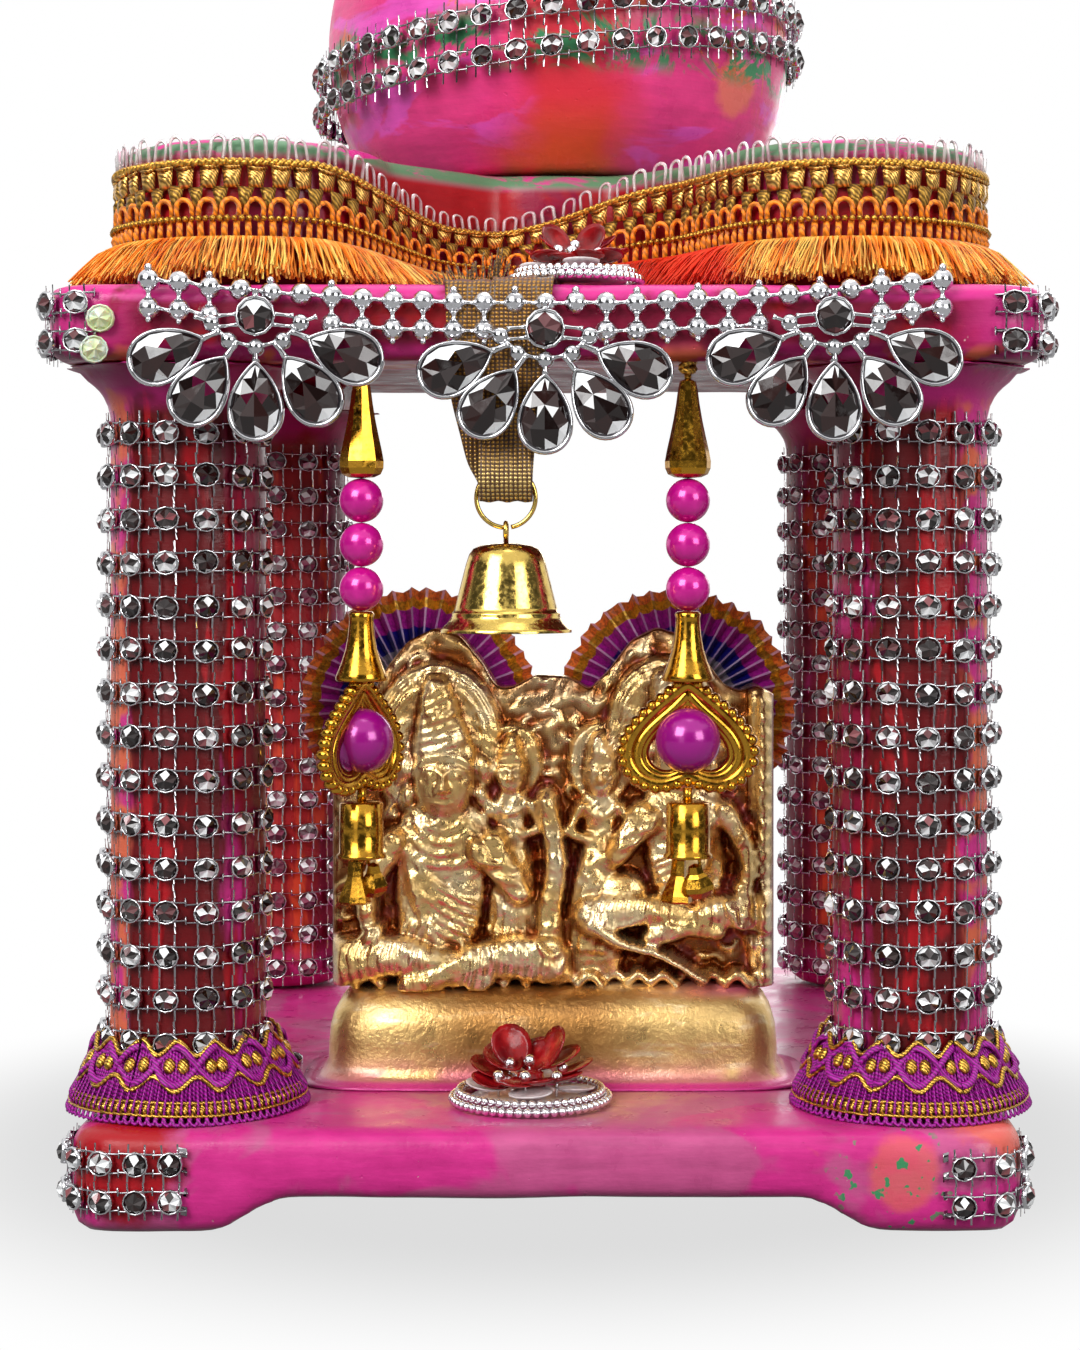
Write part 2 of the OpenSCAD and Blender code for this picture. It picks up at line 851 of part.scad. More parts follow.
module tassel_metal() {
  color(gold) {
    translate([0, 0, pearls_z + glue])
      rotate_extrude()
        polygon(concat([[0, 0]], smooth([[2.2, 0], [3.6, 2], [4, 4], [3, 9],
          [1.9, drop_l - 3], [1.7, drop_l - glue]], 5), [[0, drop_l - glue]]));
    translate([0, 0, heart_z + glue])
      rotate_extrude()
        polygon(concat([[0, 0]], smooth([[4.6, 0], [3.6, 1.4], [2.6, 5], [1.8, 9],
          [1.5, cap_l - glue]], 5), [[0, cap_l - glue]]));
  }
}

module tassel_pearls() {
  color(pearl_pink) {
    for (i = [0 : 2])
      translate([0, 0, pearls_z - pearl_d * (i + 0.5)])
        sphere(d = pearl_d - glue);
    translate([0, 0, heart_z - heart_h * 0.54])
      sphere(d = heart_pearl_d);
  }
}

// Heart outline, point upwards, centred on the pearl
function heart(w, h) = [for (t = [0 : 10 : 350])
  let (s = sin(t), c = cos(t))
  [w / 2 * s * (1 - 0.22 * (1 + c)), h * 0.5 * c * (c > 0 ? 1.08 : 1) - (abs(s) < 0.5 && c < 0 ? -1.2 : 0)]];

// Flat frame with a row of beads round it, and pins above and below that hold the pearl
module tassel_heart() {
  bar = 1.8;
  bead = 2.6;
  beads = 20;
  w = heart_w - bead;
  h = heart_h - bead;
  row = heart(w, h);
  color(gold) {
    translate([0, 0, heart_z - heart_h * 0.54])
      rotate([90, 0, 0]) {
        linear_extrude(3.2, center = true)
          difference() {
            polygon(row);
            polygon(heart(w - 2 * bar, h - 2 * bar));
          }
        for (i = [0 : beads - 1]) {
          at = row[round(i * len(row) / beads) % len(row)];
          translate([at[0], at[1], 0])
            sphere(d = bead, $fn = 16);
        }
      }
    for (s = [1, -1])
      translate([0, 0, heart_z - heart_h * 0.54 + s * (heart_pearl_d / 2 + h / 2) / 2])
        cylinder(d = 0.9, h = (h - heart_pearl_d) / 2 - 2 * glue, center = true, $fn = 24);
  }
}

module tassel_charms() {
  color(gold) {
    translate([0, 0, tube_z - tube_l])
      difference() {
        union() {
          cylinder(d = tube_d, h = tube_l);
          cylinder(d = tube_d + 0.6, h = 0.8);
          translate([0, 0, tube_l - 0.8])
            cylinder(d = tube_d + 0.6, h = 0.8);
        }
        translate([0, 0, -1])
          cylinder(d = tube_d - 1.2, h = tube_l);
      }
    for (x = [-2, 2])
      translate([x, 0, tube_z - tube_l - charm_drop]) {
        cylinder(d1 = 1, d2 = charm_d, h = charm_d * 0.55, $fn = 24);
        translate([0, 0, charm_d * 0.55])
          cylinder(d1 = charm_d, d2 = 1, h = charm_d * 0.55, $fn = 24);
        cylinder(d = 0.8, h = tube_l + charm_drop - 0.5, $fn = 24);
      }
  }
}

module tassel_left() {
  tassel_at(tassel_left_x, left_turn)
    children();
}

module tassel_right() {
  tassel_at(tassel_right_x, 0)
    children();
}

// The bell hangs further forwards than the base reaches back, so the shrine is set back
// by half of that, with the origin under the middle of its box
set_back = (bell_d / 2 - bell_y - base_d / 2) / 2;
module placed() {
  translate([0, set_back, 0])
    children();
}

placed() base();
placed() pillar(-1, -1);  // pillar_front_left
placed() pillar(1, -1);  // pillar_front_right
placed() pillar(-1, 1);  // pillar_rear_left
placed() pillar(1, 1);  // pillar_rear_right
placed() cornice();
placed() upper_tier();
placed() dome();
placed() dome_stone_band();
placed() finial();
placed() pillar_net(-1, -1, net_bare, 45);  // stone_net_front_left
placed() pillar_net(1, -1, net_bare, 135);  // stone_net_front_right
placed() pillar_net(-1, 1, net_seam, 90);  // stone_net_rear_left
placed() pillar_net(1, 1, net_seam, 90);  // stone_net_rear_right
placed() foot_lace(-1);  // foot_lace_left
placed() foot_lace(1);  // foot_lace_right
placed() tier_fringe();
placed() bead_garland();
placed() stone_rosette(-rosette_gap);  // stone_rosette_left
placed() stone_rosette(0);  // stone_rosette_centre
placed() stone_rosette(rosette_gap);  // stone_rosette_right
placed() cornice_patch(-1);  // cornice_patch_left
placed() cornice_patch(1);  // cornice_patch_right
placed() base_patch(-1);  // base_patch_left
placed() base_patch(1);  // base_patch_right
placed() gold_relief();
placed() relief_seat();
placed() ribbon_fan(fan_left_x);  // ribbon_fan_left
placed() ribbon_fan(fan_right_x);  // ribbon_fan_right
placed() base_flower();
placed() roof_flower();
placed() bell_ribbon();
placed() bell_ring();
placed() bell();
placed() tassel_left() tassel_cord();  // tassel_cord_left
placed() tassel_left() tassel_metal();  // tassel_metal_left
placed() tassel_left() tassel_pearls();  // tassel_pearls_left
placed() tassel_left() tassel_heart();  // tassel_heart_left
placed() tassel_left() tassel_charms();  // tassel_charms_left
placed() tassel_right() tassel_cord();  // tassel_cord_right
placed() tassel_right() tassel_metal();  // tassel_metal_right
placed() tassel_right() tassel_pearls();  // tassel_pearls_right
placed() tassel_right() tassel_heart();  // tassel_heart_right
placed() tassel_right() tassel_charms();  // tassel_charms_right
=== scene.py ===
"""Finishes a small painted clay pooja mandir: hand-brushed paint, stone nets, lace, silk
fringe, bead garlands, a gilded relief, ribbon fans, sequin flowers, a bell and tassels."""

import math
from functools import cache

import bmesh
import bpy
import numpy as np
from bpy.props import (
    FloatProperty,
    FloatVectorProperty,
    IntProperty,
    PointerProperty,
)
from mathutils import Euler, Matrix, Vector, noise


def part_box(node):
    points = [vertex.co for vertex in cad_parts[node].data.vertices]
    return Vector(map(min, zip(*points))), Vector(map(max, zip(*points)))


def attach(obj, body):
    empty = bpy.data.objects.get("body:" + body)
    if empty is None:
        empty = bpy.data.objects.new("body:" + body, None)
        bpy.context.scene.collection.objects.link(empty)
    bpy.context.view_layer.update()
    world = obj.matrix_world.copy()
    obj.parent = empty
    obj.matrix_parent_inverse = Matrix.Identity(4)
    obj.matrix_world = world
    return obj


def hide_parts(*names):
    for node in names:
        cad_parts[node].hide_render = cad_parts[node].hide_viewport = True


bl_info = {
    "name": "Pooja Mandir",
    "version": (1, 0, 0),
    "blender": (4, 5, 0),
    "location": "View3D > Sidebar > Mandir",
    "description": "Paint, nets, lace, fringe, relief, bell and tassels of a clay pooja mandir",
    "category": "Add Mesh",
}

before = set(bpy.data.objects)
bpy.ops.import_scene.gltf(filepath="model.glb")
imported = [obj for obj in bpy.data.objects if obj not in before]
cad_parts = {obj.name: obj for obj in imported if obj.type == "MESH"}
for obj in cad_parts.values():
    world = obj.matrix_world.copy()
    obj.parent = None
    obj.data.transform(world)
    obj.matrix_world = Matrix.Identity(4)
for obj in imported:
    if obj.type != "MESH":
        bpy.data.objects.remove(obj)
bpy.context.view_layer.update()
MM = 0.001


# ---- Values that a user would change ----


def hex_colour(code):
    """Linear red, green and blue of a colour written as six hexadecimal digits."""
    channels = [int(code[i:i + 2], 16) / 255 for i in (1, 3, 5)]
    return tuple(c / 12.92 if c <= 0.04045 else ((c + 0.055) / 1.055) ** 2.4 for c in channels)


def toned(colour, factor, lift=0.0):
    """A colour made lighter or darker."""
    return tuple(min(1.0, factor * c + lift) for c in colour)


def length(name, description, millimetres):
    """Setting for a length, whose default is given in millimetres."""
    return FloatProperty(
        name=name, description=description, default=millimetres * MM, min=0.0, unit="LENGTH",
        precision=5,
    )


def tone(name, description, code):
    """Setting for a colour."""
    return FloatVectorProperty(
        name=name, description=description, default=hex_colour(code), min=0.0, max=1.0,
        subtype="COLOR",
    )


def count(name, description, default):
    """Setting for a whole number."""
    return IntProperty(name=name, description=description, default=default, min=1)


class PaintSettings(bpy.types.PropertyGroup):
    pink: tone("Pink", "Main coat of paint on the clay", "#cf2f86")
    crimson: tone("Crimson", "Second coat on pillars, cornice face and tier wall", "#8e1238")
    red: tone("Red", "Streaks between the stones", "#a5121c")
    # Deep red is partly this paint and partly painted shade of the net on the pillar fronts
    deep: tone("Deep red", "Paint under the stones in front", "#640a10")
    salmon: tone("Salmon", "Thin orange coat at edges and worn places", "#e06a4a")
    green: tone("Green", "Dabs on the rims of the tier and on the dome", "#3f8a5c")
    voxel: length("Clay grain", "Grid that the clay surface is rebuilt on", 1.9)
    lump: length("Lumps", "Depth of the hand-moulded unevenness", 0.55)


class NetSettings(bpy.types.PropertyGroup):
    stone: length("Stone", "Diameter of a stone in its setting", 4.5)
    across: length("Pitch across", "Distance between stones round a pillar", 6.7)
    upward: length("Pitch upward", "Distance between rows of stones", 7.75)
    strand: length("Strand", "Thickness of a strand between the stones", 0.42)
    sheet: length("Net thickness", "Thickness of the net under the stones", 0.8)
    rows: count("Rows", "Rows of stones on a pillar", 16)


class FringeSettings(bpy.types.PropertyGroup):
    loop: length("Loop pitch", "Distance between the clear loops on the upper edge", 3.9)
    tab: length("Tab pitch", "Distance between the gold tabs", 4.3)
    thread: length("Thread pitch", "Distance between silk threads", 0.44)
    silk: tone("Silk", "Colour of the silk threads", "#ff9012")
    # The inner threads take this colour as painted shade
    silk_shade: tone("Deep silk", "Colour of the threads that lie inside", "#d2300a")
    zari: tone("Gold thread", "Colour of the metallic gold thread", "#c99a3c")


class LaceSettings(bpy.types.PropertyGroup):
    wave: length("Wave", "Length of two ovals of the interlaced cords", 19.0)
    cord: length("Cord", "Thickness of the interlaced cords", 1.25)
    purple: tone("Purple", "Colour of the lace cords", "#a00c92")
    edging: tone("Edging", "Colour of the metallic gold edging", "#d2a645")


class GarlandSettings(bpy.types.PropertyGroup):
    bead: length("Bead", "Diameter of a mirror bead", 4.0)
    pitch: length("Bead pitch", "Distance between beads", 5.3)
    lower: length("Lower row", "Distance down to the second row of beads", 4.9)
    stone: length("Round stone", "Diameter of a rosette's round stone in its setting", 7.2)
    foil: tone("Foil", "Colour of the dark foil behind the stones", "#2c1614")
    # These facets are painted reflections of the pink paint below the stones
    paint_reflection: tone("Warm facets", "Colour of the facets that take up the paint below", "#8a4c50")


class ReliefSettings(bpy.types.PropertyGroup):
    gold: tone("Gold", "Colour of the gilding", "#e6c07a")
    shade: tone("Shade", "Colour of the gilding in hollows", "#8a4a18")
    grain: length("Grain", "Grid that the relief is carved on", 0.45)
    folds: count("Folds", "Pleats round a ribbon fan", 44)
    navy: tone("Navy", "Dark blue band of the fans", "#10108a")
    magenta: tone("Magenta", "Purple band of the fans", "#a0188c")


class HangingSettings(bpy.types.PropertyGroup):
    brass: tone("Brass", "Colour of the bell", "#e3c165")
    plated: tone("Plated gold", "Colour of the tassels' gilded pieces", "#c4902f")
    pearl: tone("Pearl", "Colour of the strung pearls", "#cc0a8e")
    strung: length("Strung pearl", "Diameter of a pearl above the cap", 7.8)
    weave: length("Weave", "Distance between the ribbon's gold threads", 0.8)


class StageSettings(bpy.types.PropertyGroup):
    height: length("Camera height", "Height of the camera", 116.6)
    distance: length("Camera distance", "Distance of the camera in front of the middle", 528)
    side: length("Camera side", "Distance of the camera right of the middle", 13.6)
    lens: FloatProperty(name="Lens", description="Focal length in millimetres", default=67.3)
    light: FloatProperty(name="Light", description="Strength of the softboxes", default=1.0)


SETTINGS = {
    "mandir_paint": PaintSettings,
    "mandir_net": NetSettings,
    "mandir_fringe": FringeSettings,
    "mandir_lace": LaceSettings,
    "mandir_garland": GarlandSettings,
    "mandir_relief": ReliefSettings,
    "mandir_hanging": HangingSettings,
    "mandir_stage": StageSettings,
}


# ---- Places that the frame gives ----


def middle(node):
    """Centre of a node's box."""
    low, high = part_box(node)
    return (low + high) / 2


def half_width(node):
    """Half of a node's width, from left to right."""
    low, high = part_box(node)
    return (high.x - low.x) / 2


FLOOR_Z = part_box("relief_seat")[0].z
CORNICE_LOW, CORNICE_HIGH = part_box("cornice")
TIER_LOW, TIER_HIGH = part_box("upper_tier")
BASE_LOW, BASE_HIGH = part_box("base")
DOME_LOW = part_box("dome")[0]
AXIS_Y = (CORNICE_LOW.y + CORNICE_HIGH.y) / 2


# ---- Shapes ----

# What a facet's tint is multiplied by, so that a trim's luck can shuffle its facets
FACET_TURN = 7.31
# Points of a mesh that lie nearer together than this are one point
MERGE_DISTANCE = 1e-6


class Shape:
    """Points in metres and faces of a mesh; each face has a tint and is flat or smooth."""

    def __init__(self, points, faces, tint=0.0, smooth=True):
        self.points = np.array(points, float).reshape(-1, 3)
        self.faces = [list(f) for f in faces]
        self.tint = np.broadcast_to(tint, len(self.faces)).astype(float)
        self.smooth = np.broadcast_to(smooth, len(self.faces)).astype(bool)

    def moved(self, matrix):
        """The same shape after a 4 by 4 matrix."""
        m = np.array(matrix, float)
        points = self.points @ m[:3, :3].T + m[:3, 3]
        return Shape(points, self.faces, self.tint, self.smooth)

    def at(self, x=0.0, y=0.0, z=0.0, turn=(0, 0, 0), scale=1.0):
        """The same shape scaled, turned in degrees about X, Y and Z, and put at x, y, z."""
        turned = Euler([math.radians(a) for a in turn]).to_matrix().to_4x4()
        sizes = (scale, scale, scale) if np.isscalar(scale) else scale
        scaled = Matrix.Diagonal((*sizes, 1.0))
        return self.moved(Matrix.Translation((x, y, z)) @ turned @ scaled)


def joined(shapes):
    """One shape from several."""
    starts = np.cumsum([0] + [len(s.points) for s in shapes])
    return Shape(
        np.vstack([s.points for s in shapes]),
        [[i + a for i in f] for s, a in zip(shapes, starts) for f in s.faces],
        np.concatenate([s.tint for s in shapes]),
        np.concatenate([s.smooth for s in shapes]),
    )


def skin(rings, ring_closed=True, path_closed=False, caps=True, tint=0.0, smooth=True):
    """Surface over rings of points, each joined to the next."""
    rings = np.asarray(rings, float)
    rows, columns = rings.shape[:2]
    faces = []
    for i in range(rows if path_closed else rows - 1):
        a, b = i * columns, (i + 1) % rows * columns
        for j in range(columns if ring_closed else columns - 1):
            k = (j + 1) % columns
            faces.append([a + j, a + k, b + k, b + j])
    if caps and not path_closed and ring_closed:
        faces.append(list(range(columns))[::-1])
        faces.append([(rows - 1) * columns + j for j in range(columns)])
    return Shape(rings.reshape(-1, 3), faces, tint, smooth)


def lathe(profile, sides=24, caps=True, **look):
    """Turns a profile of radius and height points round the vertical axis."""
    angles = np.arange(sides) * math.tau / sides
    rings = [[(r * math.cos(a), r * math.sin(a), z) for a in angles] for r, z in profile]
    return skin(rings, caps=caps, **look)


def tube(path, radius, sides=6, closed=False, twist=0.0, squash=1.0, **look):
    """Round or flattened bar along a path. Radius is one number or one for each point."""
    path = np.asarray(path, float)
    n = len(path)
    radii = np.broadcast_to(radius, n)
    if closed:
        ahead = np.roll(path, -1, 0) - np.roll(path, 1, 0)
    else:
        ahead = np.gradient(path, axis=0)
    ahead /= np.linalg.norm(ahead, axis=1)[:, None] + 1e-12
    start = np.array((0.0, 0.0, 1.0)) if abs(ahead[0][2]) < 0.9 else np.array((0.0, 1.0, 0.0))
    rings = []
    for i in range(n):
        start = start - ahead[i] * start.dot(ahead[i])
        start /= np.linalg.norm(start)
        side = np.cross(ahead[i], start)
        angles = np.arange(sides) * math.tau / sides + twist * i
        ring = [path[i] + radii[i] * (math.cos(a) * side + squash * math.sin(a) * start)
                for a in angles]
        rings.append(ring)
    return skin(rings, path_closed=closed, **look)


def ball(radius, sides=12, rows=8, **look):
    """Round bead."""
    steps = [math.pi * i / rows for i in range(rows + 1)]
    return lathe([(radius * max(math.sin(a), 1e-4), -radius * math.cos(a)) for a in steps],
                 sides, **look)


def facet_tint(value):
    """Tint that gives a facet the given brightness from 0 to 1."""
    return np.asarray(value) / FACET_TURN


def kite_stone(outline, height, ridge=((0.0, 0.0),), seed=1, bright=0.5, light=None):
    """Stone with large kite facets over a ridge and a rim of small ones, with more painted white
    reflections upwards.

    The outline has an even number of points, from the top and clockwise. With a direction of light,
    facets that lean to it or far away from it get painted white reflections and the others are
    dark.
    """
    rng = np.random.default_rng(seed)
    girdle = np.array([(x, y, 0.0) for x, y in outline])
    sides = len(girdle)
    half = sides // 2
    centre = girdle.mean(0)
    reach = np.ptp(girdle, axis=0)[:2] / 2
    upper = centre + (girdle[1::2] - centre) * 0.7
    upper[:, 2] = height * 0.7
    tops = np.array([(x, y, height) for x, y in ridge])
    points = np.vstack([girdle, upper, tops])
    faces, values = [], []
    for j in range(half):
        low = sides + j
        for i in (2 * j, 2 * j + 1):
            faces.append([low, (i + 1) % sides, i])
            facing = girdle[i] - centre
            lit = bright * (0.6 + 0.7 * (facing[1] - 0.4 * facing[0]) / np.abs(facing).max())
            values.append(rng.uniform(0.84, 0.99) if rng.random() < lit else rng.uniform(0.2, 0.75))
        after = sides + (j + 1) % half
        corner = (2 * j + 2) % sides
        top = 0 if len(tops) == 1 or points[corner][1] > centre[1] - 1e-9 else 1
        faces.append([corner, low, sides + half + top, after])
        values.append(rng.uniform(0.02, 0.94))
    if len(tops) == 2:
        sideways = [sides + int(np.argmax(upper[:, 0])), sides + int(np.argmin(upper[:, 0]))]
        faces += [[sideways[0], sides + half + 1, sides + half],
                  [sideways[1], sides + half, sides + half + 1]]
        values += [rng.uniform(0.02, 0.6), rng.uniform(0.02, 0.6)]
    if light is not None:
        for k, face in enumerate(faces):
            toward = ((points[face].mean(0) - centre)[:2] / reach).dot(light)
            white = toward > 0.55 or toward < -0.7
            values[k] = rng.uniform(0.8, 0.99) if white else rng.uniform(0.02, 0.56)
    return Shape(points, faces, facet_tint(values), smooth=False)


def smooth_line(points, steps):
    """Points of a smooth curve through a few given ones."""
    p = np.asarray(points, float)
    last = len(p) - 1
    out = []
    for i in range(last):
        a, b, c, d = [p[min(max(k, 0), last)] for k in (i - 1, i, i + 1, i + 2)]
        for t in np.arange(steps) / steps:
            out.append(0.5 * (2 * b + (c - a) * t + (2 * a - 5 * b + 4 * c - d) * t * t
                              + (3 * b - a - 3 * c + d) * t ** 3))
    out.append(p[-1])
    return np.array(out)


def distances_along(line):
    """How far along a line each of its points lies."""
    steps = np.linalg.norm(np.diff(line, axis=0), axis=1)
    return np.concatenate([[0], np.cumsum(steps)])


def new_object(name, data):
    """Object of some data, linked into the scene."""
    obj = bpy.data.objects.new(name, data)
    bpy.context.scene.collection.objects.link(obj)
    return obj


def merge_points(mesh, face_outwards):
    """Makes one point of points that lie together, and may turn all faces outwards."""
    work = bmesh.new()
    work.from_mesh(mesh)
    bmesh.ops.remove_doubles(work, verts=work.verts, dist=MERGE_DISTANCE)
    if face_outwards:
        bmesh.ops.recalc_face_normals(work, faces=work.faces)
    work.to_mesh(mesh)
    work.free()


def mesh_points(mesh):
    """Points of a mesh, one to a row."""
    points = np.empty(len(mesh.vertices) * 3)
    mesh.vertices.foreach_get("co", points)
    return points.reshape(-1, 3)


def put_points(mesh, points):
    """Moves a mesh's points to new places."""
    mesh.vertices.foreach_set("co", points.ravel())
    mesh.update()


def make_object(name, shape, material=None, tidy=True):
    """Mesh object of a shape, with its tints, merged points and outward faces."""
    mesh = bpy.data.meshes.new(name)
    mesh.from_pydata(shape.points.tolist(), [], shape.faces)
    mesh.polygons.foreach_set("use_smooth", shape.smooth)
    tint = mesh.attributes.new("tint", "FLOAT", "FACE")
    tint.data.foreach_set("value", shape.tint.astype(np.float32))
    if tidy:
        merge_points(mesh, face_outwards=True)
    if material:
        mesh.materials.append(material)
    return new_object(name, mesh)


def settle(obj, body, slot, *nodes):
    """Lets a piece ride on its body, in place of CAD nodes, whose objects are hidden. Its finish
    slot is not used.
    """
    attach(obj, body)
    if nodes:
        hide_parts(*nodes)
    return obj


def add_piece(name, shape, material, slot, *nodes, body="shrine"):
    """Mesh object of a shape that rides on a body, in place of CAD nodes."""
    return settle(make_object(name, shape, material), body, slot, *nodes)


def evaluated_copy(obj, name):
    """Plain mesh object of what an object's modifiers give; the object itself is removed."""
    depsgraph = bpy.context.evaluated_depsgraph_get()
    mesh = bpy.data.meshes.new_from_object(obj.evaluated_get(depsgraph), depsgraph=depsgraph)
    mesh.name = name
    source = obj.data
    bpy.data.objects.remove(obj)
    if source.users == 0:
        bpy.data.meshes.remove(source)
    return new_object(name, mesh)


# ---- Materials ----


def socket_name(key):
    """A socket's name from a keyword, such as Coat Weight from coat_weight."""
    return key.replace("_", " ").title().replace("Ior", "IOR")


class Graph:
    """Adds nodes to a node tree and links them."""

    def __init__(self, tree):
        self.tree = tree

    def feed(self, socket, value):
        if isinstance(value, bpy.types.NodeSocket):
            self.tree.links.new(value, socket)
        elif getattr(socket, "type", "") == "RGBA" and len(value) == 3:
            socket.default_value = (*value, 1.0)
        else:
            socket.default_value = value

    def node(self, kind, inputs=(), **settings):
        """Adds a node; inputs pairs a socket's name or number with a value or a socket."""
        node = self.tree.nodes.new(kind)
        for key, value in settings.items():
            setattr(node, key, value)
        for key, value in dict(inputs).items():
            self.feed(node.inputs[key], value)
        return node

    def attribute(self, name):
        return self.node("ShaderNodeAttribute", attribute_name=name).outputs["Fac"]

    def place(self):
        """Position on the piece, in metres."""
        return self.node("ShaderNodeTexCoord").outputs["Object"]

    def axes(self, vector):
        """X, Y and Z of a vector."""
        return self.node("ShaderNodeSeparateXYZ", {0: vector}).outputs

    def math(self, operation, *values):
        return self.node("ShaderNodeMath", dict(enumerate(values)), operation=operation).outputs[0]

    def times(self, a, b):
        return self.math("MULTIPLY", a, b)

    def plus(self, a, b):
        return self.math("ADD", a, b)

    def minus(self, a, b):
        return self.math("SUBTRACT", a, b)

    def most(self, a, b):
        """The greater of two values."""
        return self.math("MAXIMUM", a, b)

    def above(self, value, limit):
        """1 where a value is above a limit, else 0."""
        return self.math("GREATER_THAN", value, limit)

    def below(self, value, limit):
        """1 where a value is below a limit, else 0."""
        return self.math("LESS_THAN", value, limit)

    def vector(self, x, y, z):
        return self.node("ShaderNodeCombineXYZ", {0: x, 1: y, 2: z}).outputs[0]

    def vector_math(self, operation, *values):
        """Outputs of a Vector Math node: the vector first, then the value."""
        values = dict(enumerate(values))
        return self.node("ShaderNodeVectorMath", values, operation=operation).outputs

    def stretched(self, vector, factor):
        """A vector times a number."""
        values = {0: vector, "Scale": factor}
        return self.node("ShaderNodeVectorMath", values, operation="SCALE").outputs[0]

    def mix(self, factor, a, b, blend="MIX"):
        """Colour between two; the blend is over all of the first one."""
        values = {0: factor, 6: a, 7: b}
        return self.node("ShaderNodeMix", values, data_type="RGBA", blend_type=blend).outputs[2]

    def tinted(self, colour, shade, factor=1.0):
        """A colour multiplied by another one."""
        return self.mix(factor, colour, shade, "MULTIPLY")

    def span(self, value, low, high, to_low=0.0, to_high=1.0):
        """Smooth step of a value from one range to another."""
        values = {0: value, 1: low, 2: high, 3: to_low, 4: to_high}
        node = self.node("ShaderNodeMapRange", values, interpolation_type="SMOOTHSTEP")
        return node.outputs[0]

    def fall(self, value, low, high):
        """Smooth step down, from 1 to 0."""
        return self.span(value, low, high, 1.0, 0.0)

    def between(self, value, start, full, fade, end):
        """1 between two smooth steps and 0 outside them."""
        return self.times(self.span(value, start, full), self.fall(value, fade, end))

    def ramp(self, value, stops, hard=False):
        """Colours along a value; stops are pairs of place and colour."""
        node = self.node("ShaderNodeValToRGB", {0: value})
        ramp = node.color_ramp
        ramp.interpolation = "CONSTANT" if hard else "LINEAR"
        while len(ramp.elements) < len(stops):
            ramp.elements.new(0.5)
        for element, (at, tint) in zip(ramp.elements, stops):
            element.position = at
            element.color = (*tint, 1.0)
        return node.outputs[0]

    def scaled(self, vector, scale, shift=(0, 0, 0), turn=(0, 0, 0)):
        """A vector after a Mapping node: turned, then scaled along each axis."""
        sizes = (scale, scale, scale) if np.isscalar(scale) else scale
        inputs = {"Vector": vector, "Scale": sizes, "Location": shift, "Rotation": turn}
        return self.node("ShaderNodeMapping", inputs).outputs[0]

    def noise(self, vector, scale, detail=3.0, rough=0.5, warp=0.0):
        inputs = {"Vector": vector, "Scale": scale, "Detail": detail, "Roughness": rough,
                  "Distortion": warp}
        return self.node("ShaderNodeTexNoise", inputs).outputs["Fac"]

    def wave(self, vector, scale, warp, direction):
        inputs = {"Vector": vector, "Scale": scale, "Distortion": warp, "Detail": 1.0}
        return self.node("ShaderNodeTexWave", inputs, bands_direction=direction).outputs["Fac"]

    def group(self, tree, **inputs):
        """Outputs of a node group; the inputs' names are given in small letters."""
        node = self.node("ShaderNodeGroup", node_tree=tree)
        for key, value in inputs.items():
            self.feed(node.inputs[socket_name(key)], value)
        return node.outputs


class Look(Graph):
    """A material: its Principled shader and what feeds it."""

    def __init__(self, name, **constants):
        self.material = bpy.data.materials.new(name)
        self.material.use_nodes = True
        super().__init__(self.material.node_tree)
        self.shader = self.tree.nodes["Principled BSDF"]
        self.wire(**constants)

    def wire(self, **values):
        """Feeds the shader's sockets."""
        for key, value in values.items():
            self.feed(self.shader.inputs[socket_name(key)], value)
        return self

    def bump(self, height, distance, strength=1.0):
        """Fine relief from a height between 0 and 1, as deep as the distance in metres."""
        inputs = {"Height": height, "Distance": distance, "Strength": strength}
        self.feed(self.shader.inputs["Normal"], self.node("ShaderNodeBump", inputs).outputs[0])
        return self


class Effect(Graph):
    """A shader node group with named inputs and outputs."""

    def __init__(self, name, inputs, outputs):
        super().__init__(bpy.data.node_groups.new(name, "ShaderNodeTree"))
        for label, kind, default in inputs:
            socket = self.tree.interface.new_socket(label, in_out="INPUT",
                                                    socket_type="NodeSocket" + kind)
            socket.default_value = (*default, 1.0) if kind == "Color" else default
        for label, kind in outputs:
            self.tree.interface.new_socket(label, in_out="OUTPUT",
                                           socket_type="NodeSocket" + kind)
        self.given = self.tree.nodes.new("NodeGroupInput").outputs
        self.result = self.tree.nodes.new("NodeGroupOutput").inputs

    def gives(self, **values):
        for key, value in values.items():
            self.feed(self.result[socket_name(key)], value)
        return self.tree


